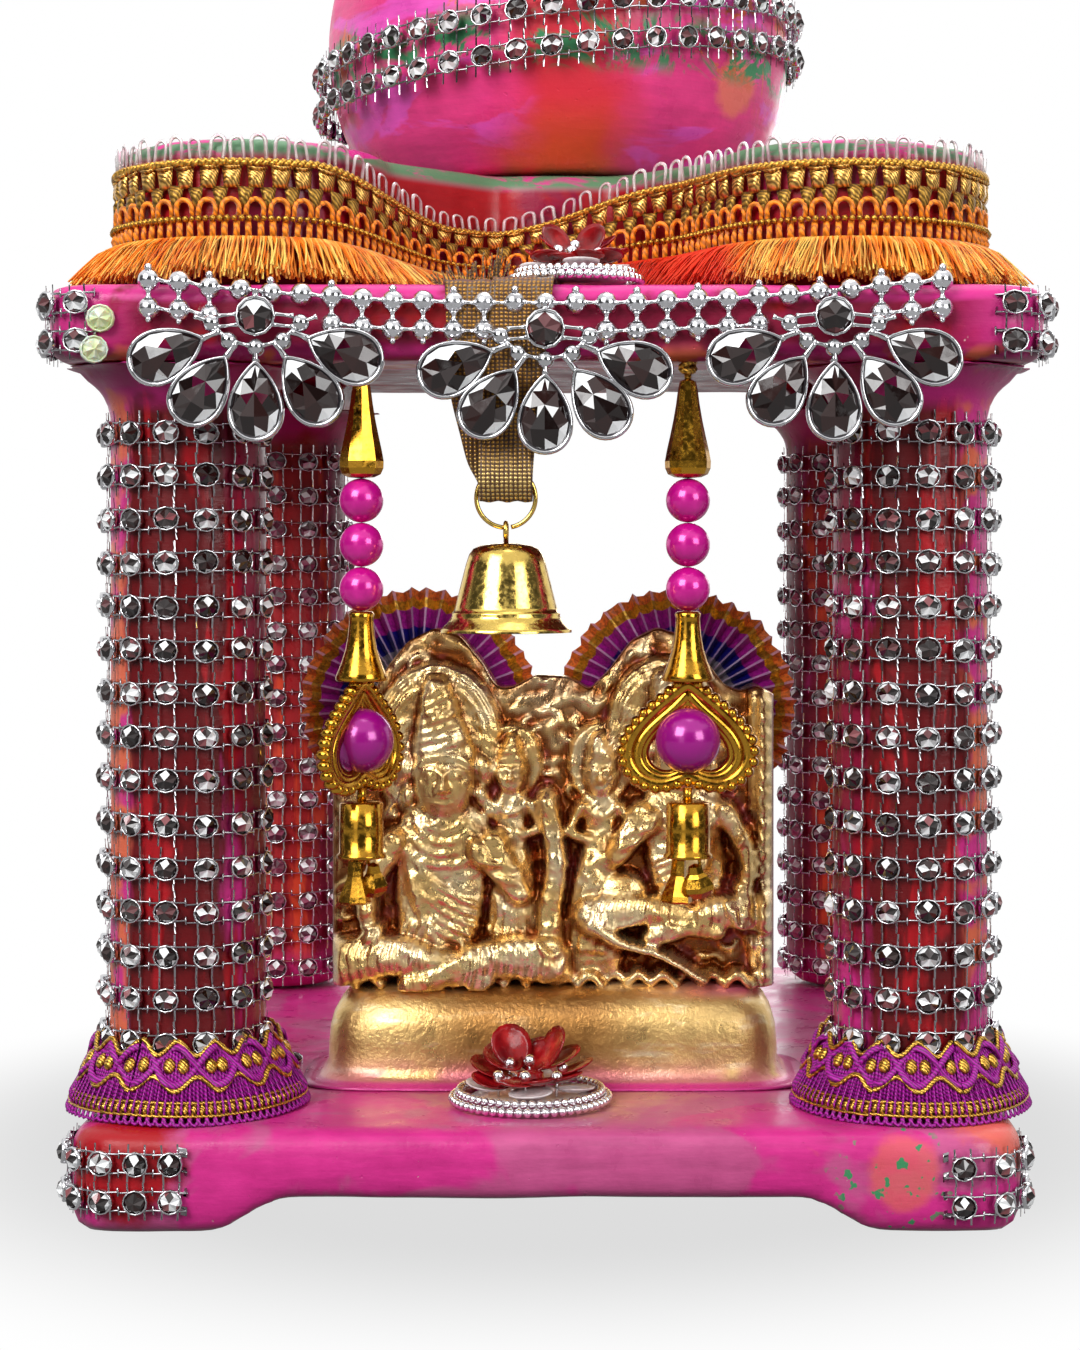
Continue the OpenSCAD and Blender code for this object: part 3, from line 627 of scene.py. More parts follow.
@cache
def hand_paint_group():
    """Two coats brushed over clay, with streaks, thin places, dabs and chips."""
    g = Effect("Hand Paint", [
        ("Coat", "Color", (0.6, 0.03, 0.2)),
        ("Second Coat", "Color", (0.3, 0.01, 0.04)),
        ("Worn Coat", "Color", (0.7, 0.15, 0.08)),
        ("Second Share", "Float", 0.5),
        ("Worn Share", "Float", 0.3),
        ("Stretch", "Float", 1.0),
    ], [("Color", "Color"), ("Roughness", "Float"), ("Height", "Float")])
    place = g.place()
    stretch = g.vector(1.0, 1.0, g.given["Stretch"])
    drawn = g.vector_math("MULTIPLY", place, stretch)[0]
    cloud = g.noise(drawn, 38.0, 4.0, 0.55, 0.6)
    edge = g.minus(1.0, g.given["Second Share"])
    second = g.span(g.minus(cloud, g.times(edge, 0.5)), 0.2, 0.27)
    coat = g.mix(second, g.given["Coat"], g.given["Second Coat"])
    patch = g.noise(g.scaled(drawn, 1.0, (0.31, 0.17, 0.05)), 27.0, 5.0, 0.6, 1.1)
    worn = g.span(g.plus(patch, g.times(g.given["Worn Share"], 0.4)), 0.72, 0.8)
    coat = g.mix(worn, coat, g.given["Worn Coat"])
    brush = g.noise(g.scaled(place, (60.0, 60.0, 420.0), turn=(0.2, 0.1, 0.3)), 1.0, 4.0, 0.65)
    shade = g.ramp(brush, [(0.25, (0.8, 0.8, 0.8)), (0.75, (1.12, 1.12, 1.12))])
    coat = g.tinted(coat, shade)
    mottle = g.noise(place, 150.0, 3.0, 0.6)
    tone_shift = g.ramp(mottle, [(0.3, (0.86, 0.78, 0.84)), (0.7, (1.1, 1.16, 1.12))])
    coat = g.tinted(coat, tone_shift, 0.6)
    speck = g.span(g.noise(place, 620.0, 2.0, 0.5), 0.73, 0.77)
    rare = g.span(g.noise(place, 60.0, 1.0), 0.52, 0.6)
    coat = g.mix(g.times(speck, rare), coat, (0.62, 0.42, 0.36))
    grain = g.noise(place, 900.0, 3.0, 0.6)
    height = g.plus(g.times(brush, 0.55), g.times(grain, 0.3))
    height = g.minus(height, g.times(speck, 0.3))
    return g.gives(color=coat, roughness=g.span(mottle, 0.25, 0.8, 0.24, 0.5), height=height)


@cache
def facet_group():
    """Gives each facet of a cut stone its own random value, and each stone its own order."""
    g = Effect("Facet", [], [("Value", "Float"), ("Grime", "Float")])
    turned = g.times(g.attribute("tint"), FACET_TURN)
    lucky = g.times(g.attribute("luck"), 5.17)
    value = g.math("FRACT", g.plus(turned, lucky))
    return g.gives(value=value, grime=g.noise(g.place(), 700.0, 2.0))


@cache
def thread_group():
    """Twist of a spun thread: painted shade in its grooves and painted highlights on its strands,
    and its height.
    """
    g = Effect("Thread", [
        ("Color", "Color", (0.5, 0.1, 0.3)),
        ("Fineness", "Float", 1.0),
        ("Contrast", "Float", 0.5),
    ], [("Color", "Color"), ("Height", "Float")])
    fine = g.stretched(g.place(), g.given["Fineness"])
    strands = g.wave(fine, 260.0, 3.0, "DIAGONAL")
    fuzz = g.noise(fine, 2400.0, 2.0, 0.7)
    both = g.plus(g.times(strands, 0.6), g.times(fuzz, 0.4))
    # Painted shade in the grooves and painted highlight on the strands, darker and lighter than the
    # thread's colour
    stops = [(0.2, (0.35, 0.3, 0.35)), (0.6, (1.0, 1.0, 1.0)), (0.85, (1.5, 1.4, 1.5))]
    shade = g.ramp(both, stops)
    colour = g.given["Color"]
    return g.gives(color=g.mix(g.given["Contrast"], colour, g.tinted(colour, shade)), height=both)


@cache
def worn_metal_group():
    """Plated metal with rubbed places, specks and small dents."""
    g = Effect("Worn Metal", [
        ("Color", "Color", (0.8, 0.6, 0.2)),
        ("Dark", "Color", (0.3, 0.12, 0.03)),
        ("Wear", "Float", 0.4),
        ("Grain", "Float", 1.0),
    ], [("Color", "Color"), ("Roughness", "Float"), ("Height", "Float")])
    fine = g.stretched(g.place(), g.given["Grain"])
    cloud = g.noise(fine, 220.0, 4.0, 0.6)
    speck = g.noise(fine, 1100.0, 3.0, 0.6)
    worn = g.times(g.span(cloud, 0.5, 0.75), g.given["Wear"])
    return g.gives(
        color=g.mix(worn, g.given["Color"], g.given["Dark"]),
        roughness=g.span(speck, 0.3, 0.75, 0.08, 0.34),
        height=g.plus(g.times(cloud, 0.6), g.times(speck, 0.4)),
    )


def shared_look(build):
    """Keeps the material that a function builds, so that it is built once for each argument."""
    return cache(lambda *values: build(*values).material)


@shared_look
def metal_look(name, colour, dark, wear):
    """Polished or rubbed metal."""
    look = Look(name, metallic=1.0)
    out = look.group(worn_metal_group(), color=colour, dark=dark, wear=wear)
    look.wire(base_color=out["Color"], roughness=out["Roughness"])
    return look.bump(out["Height"], 0.00006, 0.5)


def silver_look():
    return metal_look("Silver Plate", (0.74, 0.74, 0.77), (0.2, 0.19, 0.2), 0.5)


def plated_look():
    gold = tuple(bpy.context.scene.mandir_hanging.plated)
    # The high wear share darkens patches: rubbed places and painted dark reflections both
    return metal_look("Plated Gold", gold, (0.26, 0.08, 0.01), 0.75)


def brass_look():
    brass = tuple(bpy.context.scene.mandir_hanging.brass)
    return metal_look("Bell Brass", brass, (0.35, 0.16, 0.03), 0.3)


@shared_look
def stone_look(name, dark, paint_reflection, strands=(0.38, 0.36, 0.38)):
    """Foiled glass stone with dark and grey facets, and facets that are painted reflections of the
    paint below and of the lights.

    Tint -1 is its silver setting, -1.2 the strands between settings, darker silver as painted
    shade, and -2 the groove inside a setting, near black as painted shade.
    """
    look = Look(name, coat_weight=0.35, coat_roughness=0.03, ior=1.5)
    out = look.group(facet_group())
    # The dark tones are the foil; the paler pinkish ones are painted reflections of the paint
    # below, the white ones painted reflections of the lights
    tones = [
        (0.0, toned(dark, 0.3)),
        (0.24, dark),
        (0.46, toned(dark, 0.6, 0.03)),
        (0.6, toned(paint_reflection, 0.5)),
        (0.68, paint_reflection),
        (0.76, (0.93, 0.94, 0.95)),
    ]
    facets = look.ramp(out["Value"], tones, hard=True)
    tint = look.attribute("tint")
    setting = look.below(tint, -0.05)
    # Painted shade: the groove inside a setting is near black
    deep = look.below(tint, -1.5)
    strand = look.below(tint, -1.1)
    # The strands' darker silver is painted shade
    silver = look.mix(strand, (0.62, 0.62, 0.64), strands)
    silver = look.mix(deep, silver, (0.02, 0.016, 0.02))
    look.wire(
        base_color=look.mix(setting, facets, silver),
        metallic=look.minus(setting, look.times(deep, 0.8)),
        roughness=look.span(out["Grime"], 0.3, 0.8, 0.05, 0.22),
    )
    return look


@shared_look
def thread_look(name, colour, fineness, contrast, metallic, roughness):
    """Spun thread or cord, plain or metallic."""
    look = Look(name, metallic=metallic, roughness=roughness, sheen_weight=0.3 * (1 - metallic),
                sheen_roughness=0.4)
    out = look.group(thread_group(), color=colour, fineness=fineness, contrast=contrast)
    look.wire(base_color=out["Color"])
    return look.bump(out["Height"], 0.0001, 0.7)


@shared_look
def clear_look():
    """Clear nylon of the loops on the fringe's upper edge."""
    look = Look("Clear Nylon", roughness=0.2, transmission_weight=0.5, ior=1.35)
    tints = look.noise(look.place(), 500.0, 2.0)
    look.wire(base_color=look.ramp(tints, [(0.3, (0.75, 0.5, 0.58)), (0.6, (0.95, 0.9, 0.88))]))
    return look


def clay_look(name, coat, second, worn, second_share, worn_share, stretch=1.0, extra=None):
    """Hand-brushed paint on clay. Extra may lay further colour over it by place."""
    look = Look(name, coat_weight=0.1, coat_roughness=0.25, specular_ior_level=0.25)
    out = look.group(hand_paint_group(), coat=coat, second_coat=second, worn_coat=worn,
                     second_share=second_share, worn_share=worn_share, stretch=stretch)
    base = out["Color"]
    if extra:
        base = extra(look, base)
    look.wire(base_color=base, roughness=out["Roughness"])
    return look.bump(out["Height"], 0.00035, 0.6).material


# ---- Trims that follow a path, by Geometry Nodes ----

TRIM_INPUTS = [
    ("Path", "NodeSocketObject", None),
    ("Cell", "NodeSocketObject", None),
    ("Columns", "NodeSocketInt", 10),
    ("Rows", "NodeSocketInt", 1),
    ("Column Pitch", "NodeSocketFloat", 0.005),
    ("Row Pitch", "NodeSocketFloat", 0.005),
    ("Start", "NodeSocketFloat", 0.0),
    ("Flare", "NodeSocketFloat", 0.0),
    ("Turn Jitter", "NodeSocketFloat", 0.0),
    ("Size Jitter", "NodeSocketFloat", 0.0),
    ("Shift Jitter", "NodeSocketFloat", 0.0),
    ("Seed", "NodeSocketInt", 1),
    ("Material", "NodeSocketMaterial", None),
]


@cache
def trim_tree():
    """Geometry Nodes that set cells in rows and columns and bend them along a path.

    A cell's X runs along the path, its Y upwards and its Z outwards from it. The path runs
    anticlockwise, seen from above, so that outwards is on its right.
    """
    tree = bpy.data.node_groups.new("Trim On Path", "GeometryNodeTree")
    for label, kind, default in TRIM_INPUTS:
        socket = tree.interface.new_socket(label, in_out="INPUT", socket_type=kind)
        if default is not None:
            socket.default_value = default
    tree.interface.new_socket("Geometry", in_out="OUTPUT", socket_type="NodeSocketGeometry")
    g = Graph(tree)
    given = tree.nodes.new("NodeGroupInput").outputs
    index = g.node("GeometryNodeInputIndex").outputs[0]

    def chance(low, high, seed):
        """Random value for each cell."""
        values = {2: low, 3: high, "ID": index, "Seed": g.plus(given["Seed"], seed)}
        return g.node("FunctionNodeRandomValue", values, data_type="FLOAT").outputs[1]

    column = g.math("MODULO", index, given["Columns"])
    row = g.math("FLOOR", g.math("DIVIDE", index, given["Columns"]))
    loose = g.times(given["Shift Jitter"], chance(-1.0, 1.0, 11))
    along = g.plus(given["Start"], g.times(column, given["Column Pitch"]))
    up = g.plus(g.times(row, given["Row Pitch"]), loose)
    number = g.times(given["Columns"], given["Rows"])
    points = g.node("GeometryNodePoints", {0: number, 1: g.vector(along, up, 0.0)}).outputs[0]
    cell = g.node("GeometryNodeObjectInfo", {0: given["Cell"], 1: True}).outputs["Geometry"]
    turns = [g.times(given["Turn Jitter"], chance(-1.0, 1.0, k)) for k in (1, 2, 3)]
    spin = g.vector(*turns)
    size = g.plus(1.0, g.times(given["Size Jitter"], chance(-1.0, 1.0, 4)))
    placed = g.node("GeometryNodeInstanceOnPoints", {
        "Points": points, "Instance": cell, "Rotation": spin, "Scale": size}).outputs[0]
    lucky = g.node("GeometryNodeStoreNamedAttribute", {"Geometry": placed, "Name": "luck"},
                   data_type="FLOAT", domain="INSTANCE")
    g.feed(lucky.inputs["Value"], chance(0.0, 1.0, 5))
    real = g.node("GeometryNodeRealizeInstances", {0: lucky.outputs[0]}).outputs[0]
    path = g.node("GeometryNodeObjectInfo", {0: given["Path"]}).outputs["Geometry"]
    total = g.node("GeometryNodeCurveLength", {0: path}).outputs[0]
    spot = g.axes(g.node("GeometryNodeInputPosition").outputs[0])
    wrapped = g.math("FLOORED_MODULO", spot[0], total)
    sample = g.node("GeometryNodeSampleCurve", mode="LENGTH", use_all_curves=False)
    g.feed(sample.inputs["Curves"], path)
    g.feed(sample.inputs["Length"], wrapped)
    cross = g.vector_math("CROSS_PRODUCT", sample.outputs["Tangent"], (0.0, 0.0, 1.0))[0]
    outward = g.vector_math("NORMALIZE", cross)[0]
    reach = g.plus(spot[2], g.times(given["Flare"], spot[1]))
    place = g.vector_math("ADD", sample.outputs["Position"], g.stretched(outward, reach))[0]
    place = g.vector_math("ADD", place, g.vector(0.0, 0.0, spot[1]))[0]
    bent = g.node("GeometryNodeSetPosition", {"Geometry": real, "Position": place}).outputs[0]
    final = g.node("GeometryNodeSetMaterial", {0: bent, 2: given["Material"]}).outputs[0]
    g.feed(tree.nodes.new("NodeGroupOutput").inputs[0], final)
    return tree


def path_object(points, closed=False):
    """Curve through points, for trims to follow."""
    curve = bpy.data.curves.new("trim_path", "CURVE")
    curve.dimensions = "3D"
    line = curve.splines.new("POLY")
    line.points.add(len(points) - 1)
    line.points.foreach_set("co", np.column_stack([points, np.ones(len(points))]).ravel())
    line.use_cyclic_u = closed
    return new_object("trim_path", curve)


def path_length(points, closed=False):
    """Length of a line through points."""
    points = np.asarray(points)
    steps = np.diff(np.vstack([points, points[:1]]) if closed else points, axis=0)
    return float(np.linalg.norm(steps, axis=1).sum())


def even_pitch(points, pitch, closed=False):
    """Number of cells that fill a path, and the distance between them, near a wanted one."""
    total = path_length(points, closed)
    columns = max(1, round(total / pitch))
    return columns, total / columns


def trim(name, points, cell, material, pitch, closed=False, rows=1, columns=0, start=None,
         **values):
    """Rows of a cell along a path, as one plain mesh object.

    Without a number of columns, they fill the path and the pitch is eased to fit.
    """
    if not columns:
        columns, pitch = even_pitch(points, pitch, closed)
    path = path_object(points, closed)
    unit = make_object("trim_cell", cell, tidy=False)
    holder = new_object(name, bpy.data.meshes.new(name))
    modifier = holder.modifiers.new("Trim", "NODES")
    modifier.node_group = trim_tree()
    wanted = {
        "Path": path, "Cell": unit, "Columns": columns, "Rows": rows, "Column Pitch": pitch,
        "Start": pitch / 2 if start is None else start, "Material": material,
    }
    wanted.update({key.replace("_", " ").title(): value for key, value in values.items()})
    for item in modifier.node_group.interface.items_tree:
        if item.in_out == "INPUT" and item.name in wanted:
            modifier[item.identifier] = wanted[item.name]
    bpy.context.view_layer.update()
    piece = evaluated_copy(holder, name)
    for helper in (path, unit):
        data = helper.data
        bpy.data.objects.remove(helper)
        (bpy.data.curves if isinstance(data, bpy.types.Curve) else bpy.data.meshes).remove(data)
    return piece


def arc_path(centre, radius, start, sweep, height, steps=96):
    """Points round an upright axis, anticlockwise; angles in degrees."""
    angles = np.radians(start + sweep * np.arange(steps + 1) / steps)
    return np.column_stack([
        centre[0] + radius * np.cos(angles), centre[1] + radius * np.sin(angles),
        np.full(len(angles), height),
    ])


# ---- Clay body ----

SHAFT_RADIUS = 14.25 * MM
# Fineness of the wide lumps and of the small ones on them
LUMP_SCALES = (34.0, 110.0)


def moulded_copy(node, voxel, lump, seed, softness):
    """A node's mesh rebuilt on a fine grid, then pressed in here and there as by hand."""
    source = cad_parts[node].data.copy()
    merge_points(source, face_outwards=False)
    source.materials.clear()
    obj = new_object(node + "_moulded", source)
    remesh = obj.modifiers.new("Clay", "REMESH")
    remesh.mode = "VOXEL"
    remesh.voxel_size = voxel
    remesh.use_smooth_shade = True
    relax = obj.modifiers.new("Relax", "SMOOTH")
    relax.iterations = softness
    copy = evaluated_copy(obj, node + "_clay")
    points = mesh_points(copy.data)
    normals = np.empty(points.size)
    copy.data.vertices.foreach_get("normal", normals)
    offset = Vector((seed * 1.7, seed * 0.9, seed * 0.3))
    wide, fine = LUMP_SCALES
    depth = [noise.noise(Vector(p) * wide + offset) + 0.45 * noise.noise(Vector(p) * fine + offset)
             for p in points]
    press = lump * (0.5 - 0.5 * np.clip(depth, -1, 1))
    put_points(copy.data, points - normals.reshape(-1, 3) * press[:, None])
    return copy


def clay_piece(node, material, seed, lump_share=1.0, softness=2, fineness=1.0):
    """Moulded and painted piece in place of a clay node."""
    paint = bpy.context.scene.mandir_paint
    piece = moulded_copy(node, paint.voxel * fineness, paint.lump * lump_share, seed, softness)
    piece.data.materials.clear()
    piece.data.materials.append(material)
    return settle(piece, "shrine", "painted_clay", node)


def patch_at(look, centre, radius, soft=0.35, rough=0.35):
    """Mask of a ragged round patch of paint."""
    place = look.place()
    away = look.vector_math("DISTANCE", place, centre)["Value"]
    ragged = look.times(look.noise(place, 140.0, 5.0, 0.65), rough * 2 * radius)
    distance = look.plus(away, ragged)
    near = radius * (1 + rough - soft)
    return look.fall(distance, near, near + radius * soft)


def base_extra(look, base):
    """Salmon and green dabs at the right end of the base, red under the left net patch, and
    gold that ran on to the floor in front of the seat."""
    paint = bpy.context.scene.mandir_paint
    front = BASE_LOW.y
    right, high = BASE_HIGH.x, BASE_HIGH.z
    worn = patch_at(look, (right - 0.022, front, 0.011), 0.0075)
    base = look.mix(look.times(worn, 0.55), base, paint.salmon)
    dabs = look.times(patch_at(look, (right - 0.024, front, 0.009), 0.013),
                      look.span(look.noise(look.place(), 420.0, 2.0), 0.62, 0.66))
    base = look.mix(dabs, base, paint.green)
    under_net = patch_at(look, (BASE_LOW.x + 0.01, front + 0.002, 0.013), 0.013)
    base = look.mix(under_net, base, paint.red)
    edge = patch_at(look, (right - 0.004, front + 0.01, high), 0.012)
    base = look.mix(look.times(edge, 0.8), base, paint.salmon)
    gilt = patch_at(look, (0.0, middle("relief_seat").y - 0.014, FLOOR_Z), 0.034, 0.6, 0.5)
    return look.mix(look.times(gilt, 0.65), base, (0.62, 0.34, 0.16))


def tier_extra(look, base):
    """Green brushed over the pink rim and top."""
    paint = bpy.context.scene.mandir_paint
    place = look.place()
    high = look.span(look.axes(place)[2], TIER_HIGH.z - 0.0045, TIER_HIGH.z - 0.0025)
    streak = look.noise(look.scaled(place, (45.0, 45.0, 160.0)), 1.0, 5.0, 0.65, 0.8)
    green = look.times(high, look.span(streak, 0.4, 0.48))
    pink = look.mix(high, base, paint.pink)
    return look.mix(look.times(green, 0.9), pink, paint.green)


def dome_extra(look, base):
    """Red and orange fields in front, a salmon patch on the right, green dabs by the band."""
    paint = bpy.context.scene.mandir_paint
    place = look.place()
    x, y, z = look.axes(place)[:3]
    # Height of the stone band
    level = DOME_LOW.z + 0.021
    drift = look.times(look.noise(place, 26.0, 4.0, 0.6), 0.03)
    across = look.plus(x, drift)
    field = look.between(across, 0.0, 0.013, 0.024, 0.037)
    field = look.times(field, look.fall(y, -0.03, -0.02))
    base = look.mix(field, base, (0.72, 0.035, 0.06))
    low = look.span(z, level - 0.018, level - 0.006, 0.75, 0.0)
    base = look.mix(look.times(field, low), base, (0.75, 0.13, 0.03))
    patch = patch_at(look, (0.036, -0.026, level - 0.003), 0.007)
    base = look.mix(look.times(patch, 0.85), base, (0.9, 0.2, 0.14))
    ring = look.between(z, level - 0.004, level, level + 0.006, level + 0.011)
    cloud = look.noise(place, 55.0, 5.0, 0.7, 1.0)
    base = look.mix(look.times(ring, look.span(cloud, 0.5, 0.56)), base, paint.green)
    other = look.noise(look.scaled(place, 1.0, (0.2, 0.4, 0.1)), 48.0, 5.0, 0.7, 1.0)
    wide = look.span(z, level - 0.012, level + 0.004)
    dabs = look.times(wide, look.span(other, 0.56, 0.62))
    return look.mix(dabs, base, paint.salmon)


def pillar_extra(centre, inwards, deep_paint_and_shade, red_tone):
    """Deep red in front, paint and painted shade of the net, pink and salmon streaks outside,
    crimson pink on the inner side.
    """

    def extra(look, base):
        paint = bpy.context.scene.mandir_paint
        place = look.place()
        x, _, z = look.axes(place)[:3]
        # From -1 on the inner side to 1 on the outer side
        across = look.times(look.minus(x, centre.x), -inwards / SHAFT_RADIUS)
        streak = look.noise(look.scaled(place, (120.0, 120.0, 22.0)), 1.0, 4.0, 0.6, 0.5)
        across = look.plus(across, look.minus(streak, 0.5))
        # Deep red in front is paint darkened as painted shade of the net
        deep = look.between(across, -0.75, -0.55, 0.5, 0.75)
        outer = look.span(across, 0.5, 0.75)
        base = look.mix(deep, base, look.mix(look.span(streak, 0.52, 0.6), deep_paint_and_shade, red_tone))
        bright = look.mix(look.span(look.noise(place, 95.0, 3.0), 0.45, 0.55), paint.pink,
                          paint.salmon)
        base = look.mix(outer, base, bright)
        low = look.fall(z, FLOOR_Z + 0.002, FLOOR_Z + 0.012)
        high = look.span(z, CORNICE_LOW.z - 0.009, CORNICE_LOW.z - 0.004)
        ends = look.most(low, high)
        ragged = look.times(ends, look.span(look.noise(place, 90.0), 0.3, 0.5))
        return look.mix(ragged, base, paint.pink)

    return extra


def cornice_extra(look, base):
    """Pink top edge and ends round the wine-red face."""
    paint = bpy.context.scene.mandir_paint
    place = look.place()
    x, _, z = look.axes(place)[:3]
    top = look.span(z, CORNICE_HIGH.z - 0.0042, CORNICE_HIGH.z - 0.0026)
    low = look.fall(z, CORNICE_LOW.z + 0.001, CORNICE_LOW.z + 0.004)
    ends = look.span(look.math("ABSOLUTE", x), CORNICE_HIGH.x - 0.02, CORNICE_HIGH.x - 0.008)
    mask = look.most(look.most(top, low), look.times(ends, 0.8))
    ragged = look.times(mask, look.span(look.noise(place, 120.0, 4.0), 0.28, 0.42))
    base = look.mix(ragged, base, paint.pink)
    worn = look.times(low, look.span(look.noise(place, 75.0, 4.0), 0.55, 0.62))
    return look.mix(worn, base, paint.salmon)


class MANDIR_OT_clay(bpy.types.Operator):
    """Moulded and hand-painted clay: base, pillars, cornice, tier and dome"""

    bl_idname = "mandir.clay"
    bl_label = "Painted Clay"

    def execute(self, context):
        paint = context.scene.mandir_paint
        pink, crimson, red = tuple(paint.pink), tuple(paint.crimson), tuple(paint.red)
        salmon = tuple(paint.salmon)
        dusty = toned(pink, 0.75, 0.06)
        clay_piece("base", clay_look("Base Paint", pink, dusty, salmon, 0.45, 0.12, 1.0,
                                     base_extra), 1)
        clay_piece("cornice", clay_look("Cornice Paint", crimson, red, pink, 0.35, 0.1, 1.0,
                                        cornice_extra), 2)
        clay_piece("upper_tier", clay_look("Tier Paint", crimson, red, pink, 0.5, 0.1, 1.0,
                                           tier_extra), 3, 0.7, 6)
        rosy = (1.35 * pink[0], 1.8 * pink[1], 1.05 * pink[2])
        bright = (1.35 * pink[0], 3.2 * pink[1], 2.1 * pink[2])
        clay_piece("dome", clay_look("Dome Paint", rosy, bright, salmon, 0.35, 0.12, 2.5,
                                     dome_extra), 4, 0.8)
        for i, name in enumerate(("front_left", "front_right", "rear_left", "rear_right")):
            node = "pillar_" + name
            inwards = 1 if "left" in name else -1
            # Light from behind makes the rear pillars redder
            rear_tones = ((0.42, 0.02, 0.025), (0.75, 0.07, 0.03))
            tones = rear_tones if "rear" in name else (tuple(paint.deep), red)
            look = clay_look("Pillar Paint " + name.replace("_", " ").title(), crimson, pink,
                             red, 0.35, 0.2, 0.3, pillar_extra(middle(node), inwards, *tones))
            clay_piece(node, look, 5 + i, 0.6)
        return {"FINISHED"}


# ---- Stone nets ----


def set_stone(diameter, height, seed=3):
    """Round stone in a rounded silver setting; its back is at Z 0."""
    r = diameter / 2
    bezel = [(r * 0.98, 0.0), (r, height * 0.3), (r * 0.98, height * 0.5), (r * 0.9, height * 0.58),
             (r * 0.85, height * 0.46)]
    ring = lathe(bezel, 12, caps=False, tint=-1.0)
    # The lip's near-black tint is painted shade in the groove inside the setting
    lip = lathe([(r * 0.85, height * 0.46), (r * 0.8, height * 0.36)], 12, caps=False, tint=-2.0)
    outline = [(r * 0.83 * math.sin(a), r * 0.83 * math.cos(a))
               for a in np.arange(10) * math.tau / 10]
    # The stone's facets get painted white reflections, more of them upwards
    glass = kite_stone(outline, height * 0.6, seed=seed, bright=0.75).at(z=height * 0.38)
    return joined([ring, lip, glass])


def twisted(start, end, radius, turns):
    """Thin strand whose flat section turns along it."""
    steps = 6
    start, end = np.array(start), np.array(end)
    path = [start + (end - start) * i / steps for i in range(steps + 1)]
    return tube(path, radius, 4, twist=turns * math.tau / steps, squash=0.5, caps=False, tint=-1.2,
                smooth=False)


def net_cell(net, across, upward):
    """One stone with its two level strands, upright strands and small nubs."""
    half, rise = across / 2, upward / 2
    off = net.stone * 0.36
    wire = net.strand / 2
    low = 0.35 * MM
    parts = [set_stone(net.stone, 2.1 * MM, 5).at(z=low)]
    for side in (-1, 1):
        y = side * off
        bow = [(-half, y, low), (-half * 0.5, y * 1.02, low + wire),
               (0.0, y * 1.16, low + 2 * wire), (half * 0.5, y * 1.02, low + wire), (half, y, low)]
        parts.append(tube(bow, wire, 4, squash=0.9, caps=False, tint=-1.2))
        nub = tube([(half, y * 0.55, low), (half, y * 1.5, low)], [wire * 1.2, wire * 0.9], 4,
                   tint=-1.2)
        parts.append(nub)
        x = side * off * 0.86
        parts.append(twisted((x, -rise, low), (x, rise, low), wire * 0.8, 1.5))
    return joined(parts)


def net_look():
    garland = bpy.context.scene.mandir_garland
    return stone_look("Set Stones", tuple(garland.foil), tuple(garland.paint_reflection))


def rear_net_look():
    """Paler stones and strands of the rear pillars, where the light falls through."""
    rosy = toned(bpy.context.scene.mandir_garland.paint_reflection, 0.5, 0.3)
    return stone_look("Pale Set Stones", (0.3, 0.07, 0.12), rosy, (0.66, 0.56, 0.58))


@shared_look
def clouded_look(name, yellow, grey):
    """Clouded plastic stone, yellow-green and grey."""
    look = Look(name, roughness=0.25, coat_weight=0.5, coat_roughness=0.1,
                subsurface_weight=0.2, subsurface_scale=0.002)
    cloud = look.noise(look.place(), 330.0, 3.0, 0.6)
    look.wire(base_color=look.mix(look.span(cloud, 0.4, 0.6), yellow, grey))
    return look.bump(cloud, 0.0002, 0.5)


def net_strip(name, points, material, closed=False, rows=2, across=None, upward=None, **values):
    """Net laid along a path, in rows upwards from it."""
    net = bpy.context.scene.mandir_net
    upward = upward or net.upward
    columns, pitch = even_pitch(points, across or net.across, closed)
    cell = net_cell(net, pitch, upward)
    return trim(name, points, cell, material, pitch, closed, rows, columns, row_pitch=upward,
                turn_jitter=0.07, size_jitter=0.03, **values)


def corner_path(low, high, radius, x_reach, y_reach, left, height, gap):
    """Points along the front, round a corner and along the side of a rounded block."""
    side = -1 if left else 1
    edge = (high.x if side > 0 else -low.x) + gap
    front = low.y - gap
    r = radius + gap
    turn = np.radians(np.linspace(-90, 0, 13))
    points = [(edge - x_reach, front)]
    points += [(edge - r + r * math.cos(a), front + r + r * math.sin(a)) for a in turn]
    points.append((edge, front + y_reach))
    out = np.array([(side * x, y, height) for x, y in points])
    return out[::-1] if left else out


